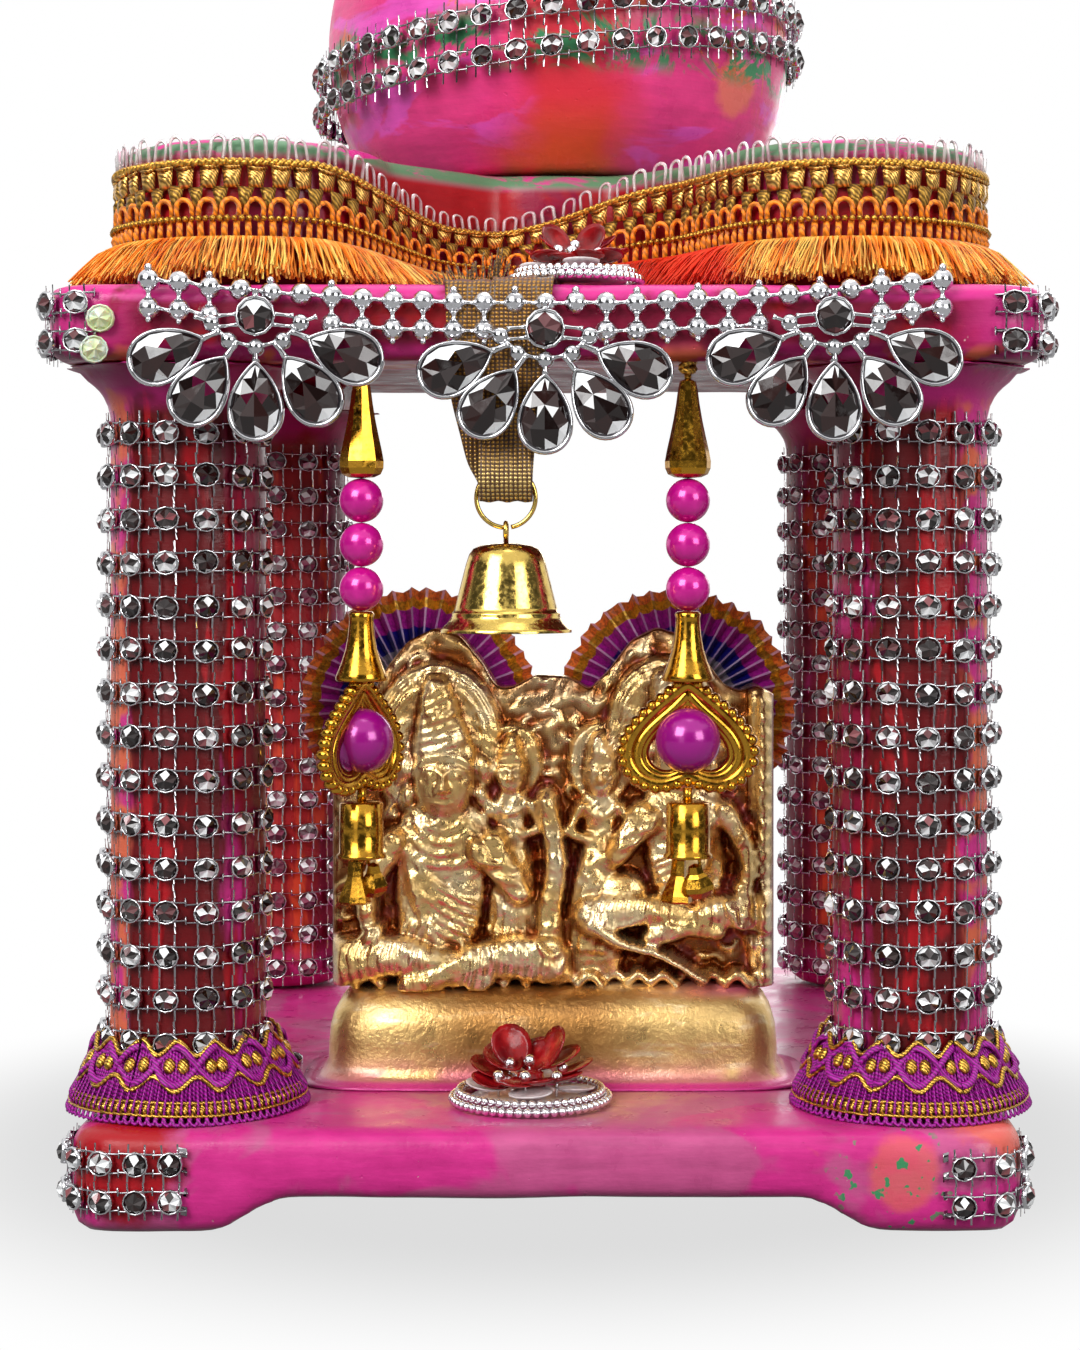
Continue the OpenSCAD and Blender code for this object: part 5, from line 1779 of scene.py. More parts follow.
class Carving:
    """Heights of a relief in millimetres over a grid that fills an outline."""

    def __init__(self, width, outline, grain):
        self.columns = int(width / grain) + 1
        x = np.linspace(-width / 2, width / 2, self.columns)
        top = np.interp(x, *np.array(outline).T)
        for _ in range(3):
            top[1:-1] = (top[:-2] + top[1:-1] * 2 + top[2:]) / 4
        self.rows = int(top.max() / grain) + 1
        self.x, share = np.meshgrid(x, np.linspace(0, 1, self.rows))
        self.z = share * top
        self.high = np.zeros_like(self.x)
        self.smooth = np.zeros_like(self.x)

    def turned(self, x, z, turn):
        """Distances from x, z along two axes that are turned by an angle in degrees."""
        c, s = math.cos(math.radians(turn)), math.sin(math.radians(turn))
        dx, dz = self.x - x, self.z - z
        return dx * c + dz * s, -dx * s + dz * c

    def mound(self, x, z, wide, tall, top, turn=0.0, base=0.0, polished=0.0):
        """Rounded lump."""
        dx, dz = self.turned(x, z, turn)
        inside = np.clip(1 - (dx / wide) ** 2 - (dz / tall) ** 2, 0, 1)
        self.high = np.maximum(self.high, np.where(inside > 0, base + (top - base)
                                                   * np.sqrt(inside), 0))
        self.smooth = np.maximum(self.smooth, polished * np.clip(inside * 3, 0, 1))

    def away(self, points):
        """Distance to a line through points, and how far along it the nearest place is."""
        nearest = np.full_like(self.x, 1e9)
        along = np.zeros_like(self.x)
        points = np.asarray(points, float)
        for i, (a, b) in enumerate(zip(points, points[1:])):
            way = b - a
            t = np.clip(((self.x - a[0]) * way[0] + (self.z - a[1]) * way[1]) / way.dot(way), 0, 1)
            d = np.hypot(self.x - a[0] - way[0] * t, self.z - a[1] - way[1] * t)
            along = np.where(d < nearest, (i + t) / (len(points) - 1), along)
            nearest = np.minimum(nearest, d)
        return nearest, along

    def limb(self, points, radius, top, end_radius=None, polished=0.0):
        """Round bar along a curve."""
        d, along = self.away(flat_curve(points, 5))
        r = radius + ((end_radius or radius) - radius) * along
        inside = np.clip(1 - (d / r) ** 2, 0, 1)
        drop = np.minimum(r * 0.8, 2.8)
        self.high = np.maximum(self.high, np.where(inside > 0, top - drop * (1 - np.sqrt(inside)),
                                                   0))
        self.smooth = np.maximum(self.smooth, polished * np.clip(inside * 3, 0, 1))

    def raise_line(self, points, radius, lift):
        """Thin ridge, or groove if the lift is below 0, that follows what is there."""
        d, _ = self.away(flat_curve(points, 4))
        self.high += lift * np.exp(-(d / radius) ** 2)

    def beads(self, points, spacing, radius, lift):
        """Row of small beads on a curve."""
        line = flat_curve(points, 8)
        far = distances_along(line)
        for at in np.arange(0, far[-1], spacing):
            x, z = np.interp(at, far, line[:, 0]), np.interp(at, far, line[:, 1])
            d2 = ((self.x - x) ** 2 + (self.z - z) ** 2) / radius ** 2
            self.high += lift * np.sqrt(np.clip(1 - d2, 0, 1))

    def crumple(self, size, depth, seed):
        """Hammered and folded foil."""
        flat = [noise.noise(Vector((x / size + seed, z / size, seed * 0.7)))
                for x, z in zip(self.x.ravel(), self.z.ravel())]
        folds = 1 - 2.2 * np.abs(np.array(flat).reshape(self.x.shape))
        self.high += depth * folds * (1 - self.smooth)


def soft_grid(values):
    """Grid after one pass of smoothing."""
    padded = np.pad(values, 1, mode="edge")
    across = (padded[:, :-2] + 2 * padded[:, 1:-1] + padded[:, 2:]) / 4
    return (across[:-2] + 2 * across[1:-1] + across[2:]) / 4


def round_arc(x, z, wide, tall, start, end, steps=10):
    """Points on an oval, angles in degrees anticlockwise from the right."""
    return [(x + wide * math.cos(math.radians(a)), z + tall * math.sin(math.radians(a)))
            for a in np.linspace(start, end, steps)]


class Figure:
    """A figure of a carving, seen from its head.

    Places and sizes are shares of the head's half width; the head's middle is at 0, 0. The
    top is how far the face stands out, in millimetres.
    """

    def __init__(self, carving, x, z, size, top):
        self.carving, self.x, self.z, self.size, self.top = carving, x, z, size, top

    def spots(self, points):
        return [(self.x + self.size * a, self.z + self.size * b) for a, b in points]

    def line(self, points, radius, lift):
        """Thin ridge or groove; its radius and lift are in millimetres."""
        self.carving.raise_line(self.spots(points), radius, lift)

    def beads(self, points, spacing, radius, lift):
        """Row of beads; their spacing, radius and lift are in millimetres."""
        self.carving.beads(self.spots(points), spacing, radius, lift)

    def limb(self, points, radius, top, end_radius=None):
        end = (end_radius or radius) * self.size
        self.carving.limb(self.spots(points), radius * self.size, top, end)

    def mound(self, a, b, wide, tall, top, turn=0.0, base=0.0, polished=0.0):
        x, z = self.spots([(a, b)])[0]
        self.carving.mound(x, z, wide * self.size, tall * self.size, top, turn, base, polished)


def carve_head(f, lean):
    """Tall crown of swirls, side curls, earrings and a beaded halo; the crown leans left."""
    s, top = f.size, f.top
    lean /= s
    halo = (-lean, 1.1)
    f.mound(*halo, 1.95, 2.4, 4.0, base=2.2)
    for reach in (1.8, 1.42):
        f.line(round_arc(*halo, reach, reach * 1.24, -25, 205, 14), 0.42, 0.9)
    f.beads(round_arc(*halo, 1.61, 1.99, -25, 205, 16), s * 0.3, s * 0.14, 1.1)
    for a in range(-20, 201, 11):
        rays = [round_arc(*halo, k, k * 1.24, a + (k - 1.2) * 20, 0, 1)[0]
                for k in (1.02, 1.2, 1.38)]
        f.line(rays, 0.36, 1.0)
    f.limb([(0, 0.7), (-lean * 0.6, 1.7), (-lean, 2.7)], 0.98, top - 1.4, 0.4)
    for k in range(7):
        up, wide, mid = 0.95 + 0.27 * k, 0.95 - 0.09 * k, -lean * 0.16 * k
        f.line([(mid - wide, up - 0.1), (mid - wide * 0.2, up + 0.02),
                (mid + wide * 0.5, up + 0.22), (mid + wide * 0.9, up + 0.34)], 0.36, 1.0)
    for m in (-1, 1):
        f.mound(m * 1.12, 0.42, 0.4, 0.6, top - 3.2, 20 * m, base=2.4)
        f.line(round_arc(m * 1.14, 0.46, 0.22, 0.36, 0, 300, 7), 0.3, -0.8)
        f.mound(m * 1.08, -0.42, 0.26, 0.4, top - 3, base=2.0)
        f.line([(m * 1.5, 0.4), (m * 1.75, -0.3), (m * 1.45, -1.1)], 0.6, 1.3)
    f.mound(0, 0, 0.9, 1.12, top, base=top - s * 0.55, polished=1.0)
    f.line(round_arc(0, 0.28, 0.84, 0.5, 15, 165), 0.5, 1.0)
    f.beads(round_arc(0, 0.42, 0.8, 0.5, 20, 160), 1.3, 0.5, 0.7)


def calm_face(f):
    """Closed lids, nose and mouth."""
    s = f.size
    for m in (-1, 1):
        f.line(round_arc(m * 0.38, 0.26, 0.27, 0.13, 15, 165, 6), s * 0.07, 0.55)
        f.line(round_arc(m * 0.38, 0.12, 0.21, 0.07, 190, 350, 6), s * 0.055, -0.5)
        f.beads([(m * 0.38, 0.13), (m * 0.39, 0.12)], 1.0, s * 0.19, 0.45)
        f.line([(m * 0.16, -0.2), (m * 0.17, -0.26)], s * 0.08, 0.4)
    f.line([(0, 0.2), (0, -0.2)], s * 0.11, 1.1)
    f.line([(-0.07, -0.22), (0.07, -0.22)], s * 0.12, 0.7)
    for up, lift in ((-0.45, 0.55), (-0.53, -0.5), (-0.6, 0.55)):
        f.line([(-0.24, up + 0.02), (0, up), (0.24, up + 0.02)], s * 0.055, lift)
    f.beads([(0, -0.82), (0, -0.84)], 1.0, s * 0.2, 0.35)


def carve_seated(f, side):
    """Chest with necklaces, arms with bangles and folded legs under drapery.

    The hand on the given side is raised; the other one lies on its knee.
    """
    top = f.top
    f.limb([(0, -0.9), (0, -1.5)], 0.42, top - 2.2)
    f.mound(0, -2.0, 1.75, 0.95, top - 2.4, base=top - 4.6)
    f.limb([(0, -1.9), (-side * 0.2, -4.6)], 1.5, top - 2.2, 1.15)
    for k in range(4):
        f.beads(round_arc(0, -0.9, 0.62 + 0.26 * k, 0.55 + 0.34 * k, 200, 340, 9), 0.95, 0.5, 0.9)
    for k in range(6):
        f.line([(-side * (1.35 - 0.1 * k), -1.75 - 0.35 * k), (-side * 0.2, -3.0 - 0.33 * k),
                (side * 1.1, -3.7 - 0.3 * k)], 0.38, 1.1)
    for m in (-1, 1):
        elbow = np.array((m * 2.25, -3.3))
        hand = np.array((m * 1.1, -2.1) if m == side else (m * 2.1, -4.5))
        f.limb([(m * 1.45, -1.75), elbow, hand], 0.38, top - 0.8, 0.28)
        f.mound(*hand, 0.36, 0.5, top, 30 * m, base=top - 2, polished=0.5)
        half_bangle = np.array((0.34, -0.3 * m / f.size))
        for t in (0.3, 0.42, 0.78):
            place = elbow + (hand - elbow) * t
            f.line([place - half_bangle, place + half_bangle], 0.32, 0.9)
    low = -5.3
    f.limb([(-3.0, low), (-1.2, low + 0.2), (1.1, low - 0.4)], 0.72, top + 0.2, 0.45)
    f.limb([(3.0, low + 0.1), (1.2, low + 0.1), (-1.0, low - 0.7)], 0.72, top + 0.6, 0.4)
    for m in (-1, 1):
        for k in range(9):
            near, far = m * (0.3 + 0.3 * k), m * (0.6 + 0.3 * k)
            f.line([(near, low + 1.25 - 0.06 * k), (far, low + 0.25), (far - m * 0.15, low - 0.7)],
                   0.34, 0.95)


def carve_standing(f, sway):
    """Small figure with a crown and a pleated skirt, whose hem is shifted sideways."""
    top = f.top
    sway /= f.size
    f.mound(0, 0.6, 1.7, 2.2, 3.0, base=2.0)
    f.beads(round_arc(0, 0.6, 1.5, 1.95, 0, 180), 1.1, 0.5, 1.0)
    f.limb([(0, 0.7), (sway * 0.3, 1.9)], 0.8, top - 0.8, 0.35)
    for k in range(3):
        f.line([(-0.7, 0.8 + 0.4 * k), (0.7, 0.9 + 0.4 * k)], 0.3, 0.9)
    f.mound(0, 0, 0.82, 1.05, top, base=top - f.size * 0.6, polished=1.0)
    for m in (-1, 1):
        f.limb([(m * 1.05, -1.6), (m * 1.55, -2.9), (m * 0.5, -3.3)], 0.32, top - 1)
    f.limb([(0, -1.6), (0, -3.6)], 1.1, top - 1.6, 0.85)
    f.beads(round_arc(0, -1.2, 0.8, 0.9, 200, 340), 0.9, 0.45, 0.8)
    f.limb([(0, -3.8), (sway, -6.2), (sway * 1.4, -9.0)], 1.0, top - 0.8, 1.7)
    for k in np.linspace(-1, 1, 7):
        f.line([(k * 0.7, -4.0), (sway + k * 1.1, -6.3), (sway * 1.4 + k * 1.7, -9.0)], 0.34, 1.0)


def scrollwork(c, number, seed):
    """Small curled leaves over the ground between the figures."""
    rng = np.random.default_rng(seed)
    before = c.high.copy()
    for _ in range(number):
        x, z = rng.uniform(-41, 41), rng.uniform(3, 62)
        size, turn = rng.uniform(1.2, 2.6), rng.uniform(0, 360)
        c.raise_line(round_arc(x, z, size, size * 0.8, turn, turn + 210, 7), 0.34, 1.1)
    c.high = np.where(before > 5.5, before + (c.high - before) * 0.25, c.high)


def carved_relief(grain):
    """The whole relief: two seated figures, small ones between them and a beaded post."""
    outline = [(-43, 48), (-40, 53), (-35, 55.5), (-32, 61), (-28, 66), (-23, 68.5), (-18, 67),
               (-13.5, 61.5), (-11, 57), (-8, 57), (-3, 59.5), (3, 59), (7, 56.5), (10.5, 60),
               (15, 66), (20, 68.5), (25, 67), (29, 63), (33, 57.5), (36, 56.2), (39, 57.6),
               (43, 55.5)]
    c = Carving(85.0, outline, grain)
    c.high += 0.8
    scrollwork(c, 150, 5)
    # Middle and half width of each head and height of its face, in millimetres
    heads = [(-8.0, 40.6, 3.5, 6.2), (9.2, 40.4, 3.7, 6.6), (24.8, 43.5, 5.6, 8.6),
             (-20.7, 39.4, 6.5, 8.8)]
    figures = [Figure(c, *head) for head in heads]
    carve_standing(figures[0], 0.6)
    carve_standing(figures[1], -1.2)
    c.limb([(-1.2, 36), (0.8, 24), (-0.6, 13), (1.2, 3)], 2.2, 6.8, 2.8)
    carve_head(figures[2], 3.6)
    carve_seated(figures[2], -1)
    carve_head(figures[3], 1.4)
    carve_seated(figures[3], 1)
    c.limb([(7.5, 12.5), (13, 9), (21, 6.5), (29, 1.8)], 1.5, 10.5, 0.7, polished=0.7)
    c.mound(13.2, 17.2, 5.4, 5.0, 7.6, base=5.0, polished=1.0)
    for k in np.linspace(-1.6, 1.6, 5):
        strand = [(-1.2 + k, 36), (0.8 + k, 24), (-0.6 + k * 1.2, 12), (1.2 + k * 1.6, 1)]
        c.raise_line(strand, 0.36, 0.9)
    c.high = np.where((c.x > 37.6) & (c.z < 57), np.maximum(c.high, 4.2), c.high)
    c.raise_line([(38.6, 1), (38.4, 30), (38.7, 56)], 0.5, -1.8)
    c.beads([(41.0, 2), (40.9, 28), (41.1, 55)], 2.9, 1.0, 1.1)
    c.raise_line([(37.4, 30), (33, 24), (33.5, 16), (38, 8)], 0.8, 1.6)
    for i in range(18):
        x = -40 + i * 4.7
        c.limb([(x - 2, 0.8), (x, 2.6), (x + 2.4, 0.6)], 1.1, 5.4 + 1.2 * math.sin(i * 2.1))
    c.high = soft_grid(c.high)
    c.crumple(6.0, 0.5, 3.1)
    c.crumple(2.4, 0.3, 8.4)
    for figure in figures:
        calm_face(figure)
    edge = np.clip((c.x + 42.5) / 2.2, 0, 1) * np.clip((42.5 - c.x) / 2.2, 0, 1)
    rim = np.clip((c.z[-1] - c.z) / 1.8, 0, 1)
    c.high *= np.sqrt(np.clip(edge * (0.25 + 0.75 * rim), 0, 1))
    return c


def relief_shape(grain, front, back, floor):
    """Closed shape of the relief; tint is how deep in a recess each face lies, for painted shade
    and red stain.
    """
    c = carved_relief(grain / MM)
    wide = c.high.copy()
    for _ in range(HOLLOW_PASSES):
        wide = soft_grid(wide)
    hollow_shade_and_stain = np.clip(0.42 - (c.high - wide) * 0.36, 0, 1) + np.clip((2.2 - c.high) / 5, 0, 0.2)
    rows, columns = c.rows, c.columns
    face = np.stack([c.x * MM, front - c.high * MM, floor + c.z * MM], -1).reshape(-1, 3)
    j, i = np.mgrid[0:rows - 1, 0:columns - 1]
    a = (j * columns + i).ravel()
    quads = np.stack([a, a + 1, a + columns + 1, a + columns], -1)
    depth = (hollow_shade_and_stain[:-1, :-1] + hollow_shade_and_stain[1:, 1:]).ravel() / 2
    low = list(range(columns))
    right = [r * columns + columns - 1 for r in range(1, rows - 1)]
    top = [(rows - 1) * columns + k for k in range(columns)]
    left = [r * columns for r in range(1, rows - 1)]
    around = low + right + top[::-1] + left[::-1]
    rear = face[around].copy()
    rear[:, 1] = back
    behind = {p: len(face) + n for n, p in enumerate(around)}
    walls = [[p, behind[p], behind[q], q] for p, q in zip(around, around[1:] + around[:1])]
    backs = [[low[k], top[k], top[k + 1], low[k + 1]] for k in range(1, columns - 2)]
    backs.append([low[0], *left, top[0], top[1], low[1]])
    backs.append([low[-1], low[-2], top[-2], top[-1], *right[::-1]])
    backs = [[behind[p] for p in f] for f in backs]
    tints = np.concatenate([depth, np.full(len(walls) + len(backs), 0.35)])
    return Shape(np.vstack([face, rear]), quads.tolist() + walls + backs, tints)


@shared_look
def gilt_look(name, gold, shade, stain):
    """Metallic gold paint over clay: painted shade in brown in the hollows, stained red in the
    deepest.
    """
    look = Look(name, coat_weight=0.2, coat_roughness=0.15)
    place = look.place()
    hollow_shade_and_stain = look.attribute("tint")
    out = look.group(worn_metal_group(), color=gold, dark=shade, wear=0.4, grain=1.6)
    cloud = look.noise(place, 90.0, 4.0, 0.6)
    pale = look.mix(look.span(cloud, 0.42, 0.66, 0.0, 0.5), out["Color"], (0.95, 0.84, 0.58))
    # Painted shade: brown in the hollows
    brown = look.mix(look.span(hollow_shade_and_stain, 0.42, 0.78), pale, shade)
    red = look.times(look.span(hollow_shade_and_stain, 0.7, 0.95), look.span(cloud, 0.48, 0.6))
    base = look.mix(look.times(red, 0.6), brown, stain)
    look.wire(base_color=base, metallic=look.span(red, 0.2, 0.8, 0.92, 0.4),
              roughness=look.span(look.noise(place, 420.0, 3.0), 0.3, 0.7, 0.16, 0.38))
    return look.bump(look.noise(place, 1300.0, 3.0, 0.6), 0.00022, 0.7)


def seat_shape(low, high, skirt):
    """Rounded block whose foot runs out over the floor by the skirt."""
    # Height as a share, and how far the outline stands out (mm) past the block
    profile = [(0.0, skirt), (0.012, 0.62 * skirt), (0.04, 0.36 * skirt), (0.1, 0.14 * skirt),
               (0.2, 0.0), (0.38, -0.1), (0.56, -0.4), (0.7, -1.1), (0.82, -2.3), (0.91, -3.9),
               (0.97, -6.2), (1.0, -9.5), (1.0, -13.5)]
    centre = (low + high) / 2
    reach = (high - low) / 2
    rng = np.random.default_rng(8)
    turns = np.arange(112) * math.tau / 112
    unevenness = sum(rng.normal(0, 0.25 / k) * np.sin(k * turns + rng.uniform(0, 6))
                     for k in range(2, 9))
    rings = []
    for share, out in profile:
        grown = out + unevenness * (1.0 if out > 0 else 0.4)
        x = np.sign(np.cos(turns)) * np.abs(np.cos(turns)) ** 0.34 * (reach.x + grown * MM)
        y = np.sign(np.sin(turns)) * np.abs(np.sin(turns)) ** 0.42 * (reach.y + grown * MM)
        z = np.full(len(turns), low.z + share * (high.z - low.z))
        rings.append(np.column_stack([centre.x + x, centre.y + y, z]))
    return skin(rings)


def seat_look(name, relief, paint):
    """Gold brushed over a smooth seat, browner in the middle as a painted dark reflection, thin
    towards the floor, where pink shows.
    """
    look = Look(name, coat_weight=0.3, coat_roughness=0.2)
    place = look.place()
    x, _, z = look.axes(place)[:3]
    strokes = look.noise(look.scaled(place, (60.0, 120.0, 260.0)), 1.0, 4.0, 0.6)
    gold = look.ramp(strokes, [(0.3, toned(relief.gold, 0.85)), (0.55, tuple(relief.gold)),
                               (0.75, (0.96, 0.84, 0.56))])
    # Painted dark reflection: the middle of the seat is browner
    inner = look.math("ABSOLUTE", look.plus(x, 0.004))
    inner = look.plus(inner, look.times(strokes, 0.012))
    brown = look.tinted(gold, (0.5, 0.33, 0.2))
    gold = look.mix(look.span(inner, 0.014, 0.034, 0.92, 0.0), gold, brown)
    foot = look.fall(look.plus(z, look.times(strokes, 0.004)),
                     SEAT_LOW.z + 0.0012, SEAT_LOW.z + 0.009)
    right = look.span(x, SEAT_HIGH.x - 0.03, SEAT_HIGH.x - 0.004)
    top = look.span(z, SEAT_HIGH.z - 0.003, SEAT_HIGH.z - 0.001)
    bare = look.most(look.times(foot, 0.7), look.times(look.times(right, top), 0.8))
    bare = look.times(bare, look.span(look.noise(place, 75.0, 4.0), 0.3, 0.46))
    bare = look.most(bare, look.fall(z, SEAT_LOW.z + 0.0004, SEAT_LOW.z + 0.0018))
    look.wire(base_color=look.mix(bare, gold, paint.pink),
              metallic=look.minus(0.85, look.times(bare, 0.7)),
              roughness=look.span(look.noise(place, 200.0, 3.0), 0.3, 0.7, 0.26, 0.42))
    return look.bump(look.noise(place, 800.0, 4.0, 0.65), 0.00035, 0.6)


class MANDIR_OT_relief(bpy.types.Operator):
    """Gilded relief of seated and standing figures on a smooth seat, and the finial"""

    bl_idname = "mandir.relief"
    bl_label = "Gilded Relief"

    def execute(self, context):
        relief, paint = context.scene.mandir_relief, context.scene.mandir_paint
        depth = SEAT_HIGH.y - SEAT_LOW.y
        front = SEAT_LOW.y + depth * 0.42
        shape = relief_shape(relief.grain, front, front + depth * 0.4, SEAT_HIGH.z - 0.8 * MM)
        look = gilt_look("Gilding", tuple(relief.gold), tuple(relief.shade), tuple(paint.crimson))
        add_piece("relief_carving", shape, look, "gold_paint", "gold_relief")
        plinth = seat_look("Plinth Gilding", relief, paint).material
        add_piece("seat_block", seat_shape(SEAT_LOW, SEAT_HIGH, 5.0), plinth, "gold_paint",
                  "relief_seat")
        finial = clay_piece("finial", look, 14, 0.3, fineness=0.4)
        return {"FINISHED"}


# ---- Pleated ribbon fans ----


def fan_shape(radius, hub, pleats, depth):
    """Ribbon pleated into a ring; tint is the share outwards, and 2 more on the pleats' crests, for
    a painted highlight.
    """
    steps = 9
    turns = []
    for i in range(pleats):
        turns += [(i, 0.0), (i + 0.42, 1.0), (i + 0.58, 1.0)]
    rings = []
    rng = np.random.default_rng(6)
    wobble = rng.normal(0, 0.0003, len(turns))
    for k in range(steps + 1):
        share = k / steps
        r = hub + (radius - hub) * share
        fall = depth * (1.25 - 0.45 * share)
        ring = []
        for (turn, lift), w in zip(turns, wobble):
            a = math.tau * turn / pleats
            out = r + (w - 0.0006 * (1 - lift)) * share
            ring.append((out * math.cos(a), out * math.sin(a), fall * lift + w * share))
        rings.append(ring)
    shape = skin(rings, caps=False, smooth=False)
    tints = [(k + 0.5) / steps + (2 if j % 3 == 1 else 0) for k in range(steps)
             for j in range(len(turns))]
    shape.tint = np.array(tints)
    return shape


@shared_look
def fan_look(name, navy, magenta, orange, zari):
    """Striped satin ribbon with a gold border and painted highlights on the pleats' crests."""
    look = Look(name, roughness=0.34, sheen_weight=0.3, sheen_roughness=0.3,
                specular_ior_level=0.6)
    tint = look.attribute("tint")
    crest_highlight = look.above(tint, 1.5)
    share = look.minus(tint, look.times(crest_highlight, 2.0))
    stops = [(0.0, (0.2, 0.14, 0.24)), (0.1, (0.44, 0.4, 0.5)), (0.34, navy), (0.55, magenta),
             (0.78, zari), (0.93, orange)]
    bands = look.ramp(share, stops, hard=True)
    weave = look.noise(look.place(), 1500.0, 2.0, 0.6)
    bands = look.mix(look.span(weave, 0.4, 0.65, 0.0, 0.45), bands, (0.02, 0.005, 0.02))
    # Painted highlight: paler along the pleats' crests
    pale = look.mix(look.times(crest_highlight, 0.5), bands, (0.75, 0.5, 0.8))
    gold = look.times(look.above(share, 0.78), look.below(share, 0.93))
    look.wire(base_color=look.mix(gold, pale, bands), metallic=look.times(gold, 0.85))
    return look.bump(weave, 0.0002, 0.6)


class MANDIR_OT_fans(bpy.types.Operator):
    """Two pleated ribbon fans behind the relief"""

    bl_idname = "mandir.fans"
    bl_label = "Ribbon Fans"

    def execute(self, context):
        relief, fringe = context.scene.mandir_relief, context.scene.mandir_fringe
        look = fan_look("Fan Ribbon", tuple(relief.navy), toned(relief.magenta, 1.35),
                        (0.88, 0.2, 0.03), toned(fringe.zari, 1.3))
        for side in ("left", "right"):
            node = "ribbon_fan_" + side
            radius, hub = half_width(node), 6.5 * MM
            centre = middle(node)
            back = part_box(node)[1].y
            shape = fan_shape(radius, hub, relief.folds, 1.7 * MM)
            shape = shape.at(centre.x, back - 0.3 * MM, centre.z, turn=(90, 0, 0))
            piece = add_piece("fan_" + side, shape, look, "fan_ribbon", node)
        return {"FINISHED"}


# ---- Sequin flowers ----


def disc(outline, thickness, rise, tint):
    """Thin closed petal or sequin over an outline, raised by a function of how far out it is."""
    outline = np.asarray(outline, float)
    centre = outline.mean(0)
    shares = (0.03, 0.4, 0.75, 1.0)
    top = [[(*(centre + (p - centre) * s), rise(s) + thickness) for p in outline] for s in shares]
    low = [[(*(centre + (p - centre) * s), rise(s)) for p in outline] for s in shares[::-1]]
    return skin(top + low, tint=tint)


# Petals of a sequin flower: way round in degrees (90 is backwards), how far out it starts and
# its size as shares of the radius, height, tilt in degrees, and 1 for a pale sequin
PETALS = [
    (200, 0.3, 0.52, 1.8, 4, 1.0),
    (272, 0.26, 0.56, 2.0, 3, 1.0),
    (335, 0.3, 0.52, 1.8, 5, 1.0),
    (95, 0.28, 0.52, 1.8, 8, 1.0),
    (168, 0.26, 0.56, 2.7, 20, 0.0),
    (212, 0.24, 0.54, 2.6, 8, 0.0),
    (250, 0.18, 0.52, 3.0, 7, 0.0),
    (290, 0.2, 0.52, 2.9, 6, 0.0),
    (330, 0.24, 0.54, 2.8, 10, 0.0),
    (8, 0.27, 0.56, 3.0, 17, 0.0),
    (148, 0.18, 0.54, 3.9, 34, 0.0),
    (30, 0.2, 0.54, 4.0, 30, 0.0),
    (75, 0.2, 0.54, 3.4, 44, 0.0),
    (126, 0.3, 0.58, 4.0, 66, 0.0),
    (50, 0.28, 0.58, 3.9, 64, 0.0),
]


def petal_outline(size, wide):
    """Rounded petal that points along X from the origin."""
    angles = np.arange(16) * math.tau / 16
    return [(size * (0.5 - 0.5 * math.cos(a)), wide / 2 * math.sin(a) * (1 - 0.12 * math.cos(a)))
            for a in angles]


def bead_ring(radius, bead, height, tint):
    """Ring of small beads that touch each other."""
    number = int(math.tau * radius / (bead * 0.93))
    turns = np.arange(number) * math.tau / number
    unit = ball(bead / 2, 7, 5, tint=tint)
    return joined([unit.at(radius * math.cos(a), radius * math.sin(a), height) for a in turns])


def flower_shape(radius, height, seed):
    """Round red petals over pale sequins in a double ring of small silver beads."""
    rng = np.random.default_rng(seed)
    rise = height / 10
    plate = lathe([(radius * 0.72, 0.4 * MM), (radius * 0.75, 0.8 * MM), (radius * 0.5, 1.3 * MM),
                   (0.02 * MM, 1.5 * MM)], 32, tint=1.0)
    parts = [plate, bead_ring(radius - 0.8 * MM, 1.7 * MM, 0.85 * MM, -1.0),
             bead_ring(radius - 2.0 * MM, 1.6 * MM, 2.1 * MM, -1.0)]
    for way, near, size, lift, tilt, tint in PETALS:
        leaf = disc(petal_outline(radius * size, radius * size * 0.94), 0.25 * MM,
                    lambda share: radius * 0.06 * share * share, tint)
        leaf = leaf.at(radius * near, turn=(rng.normal(0, 8), -tilt - rng.uniform(-5, 5), 0))
        parts.append(leaf.at(z=lift * rise, turn=(0, 0, way + rng.normal(0, 5))))
    for way, far, lift in ((205, 0.42, 4.2), (262, 0.36, 4.6), (100, 0.08, 6.0), (318, 0.44, 4.4),
                           (15, 0.4, 4.8), (150, 0.3, 5.4)):
        a = math.radians(way)
        spot = np.array((radius * far * math.cos(a), radius * far * math.sin(a), lift * rise))
        parts.append(ball(1.15 * MM, 10, 7, tint=-1.0).at(*spot))
        parts.append(tube([spot - (0, 0, 3.0 * rise), spot], 0.22 * MM, 5, tint=-1.0))
    core = [(radius * 0.2, 0.5 * MM), (radius * 0.16, 4.4 * rise), (0.02 * MM, 4.8 * rise)]
    parts.append(lathe(core, 10))
    return joined(parts)


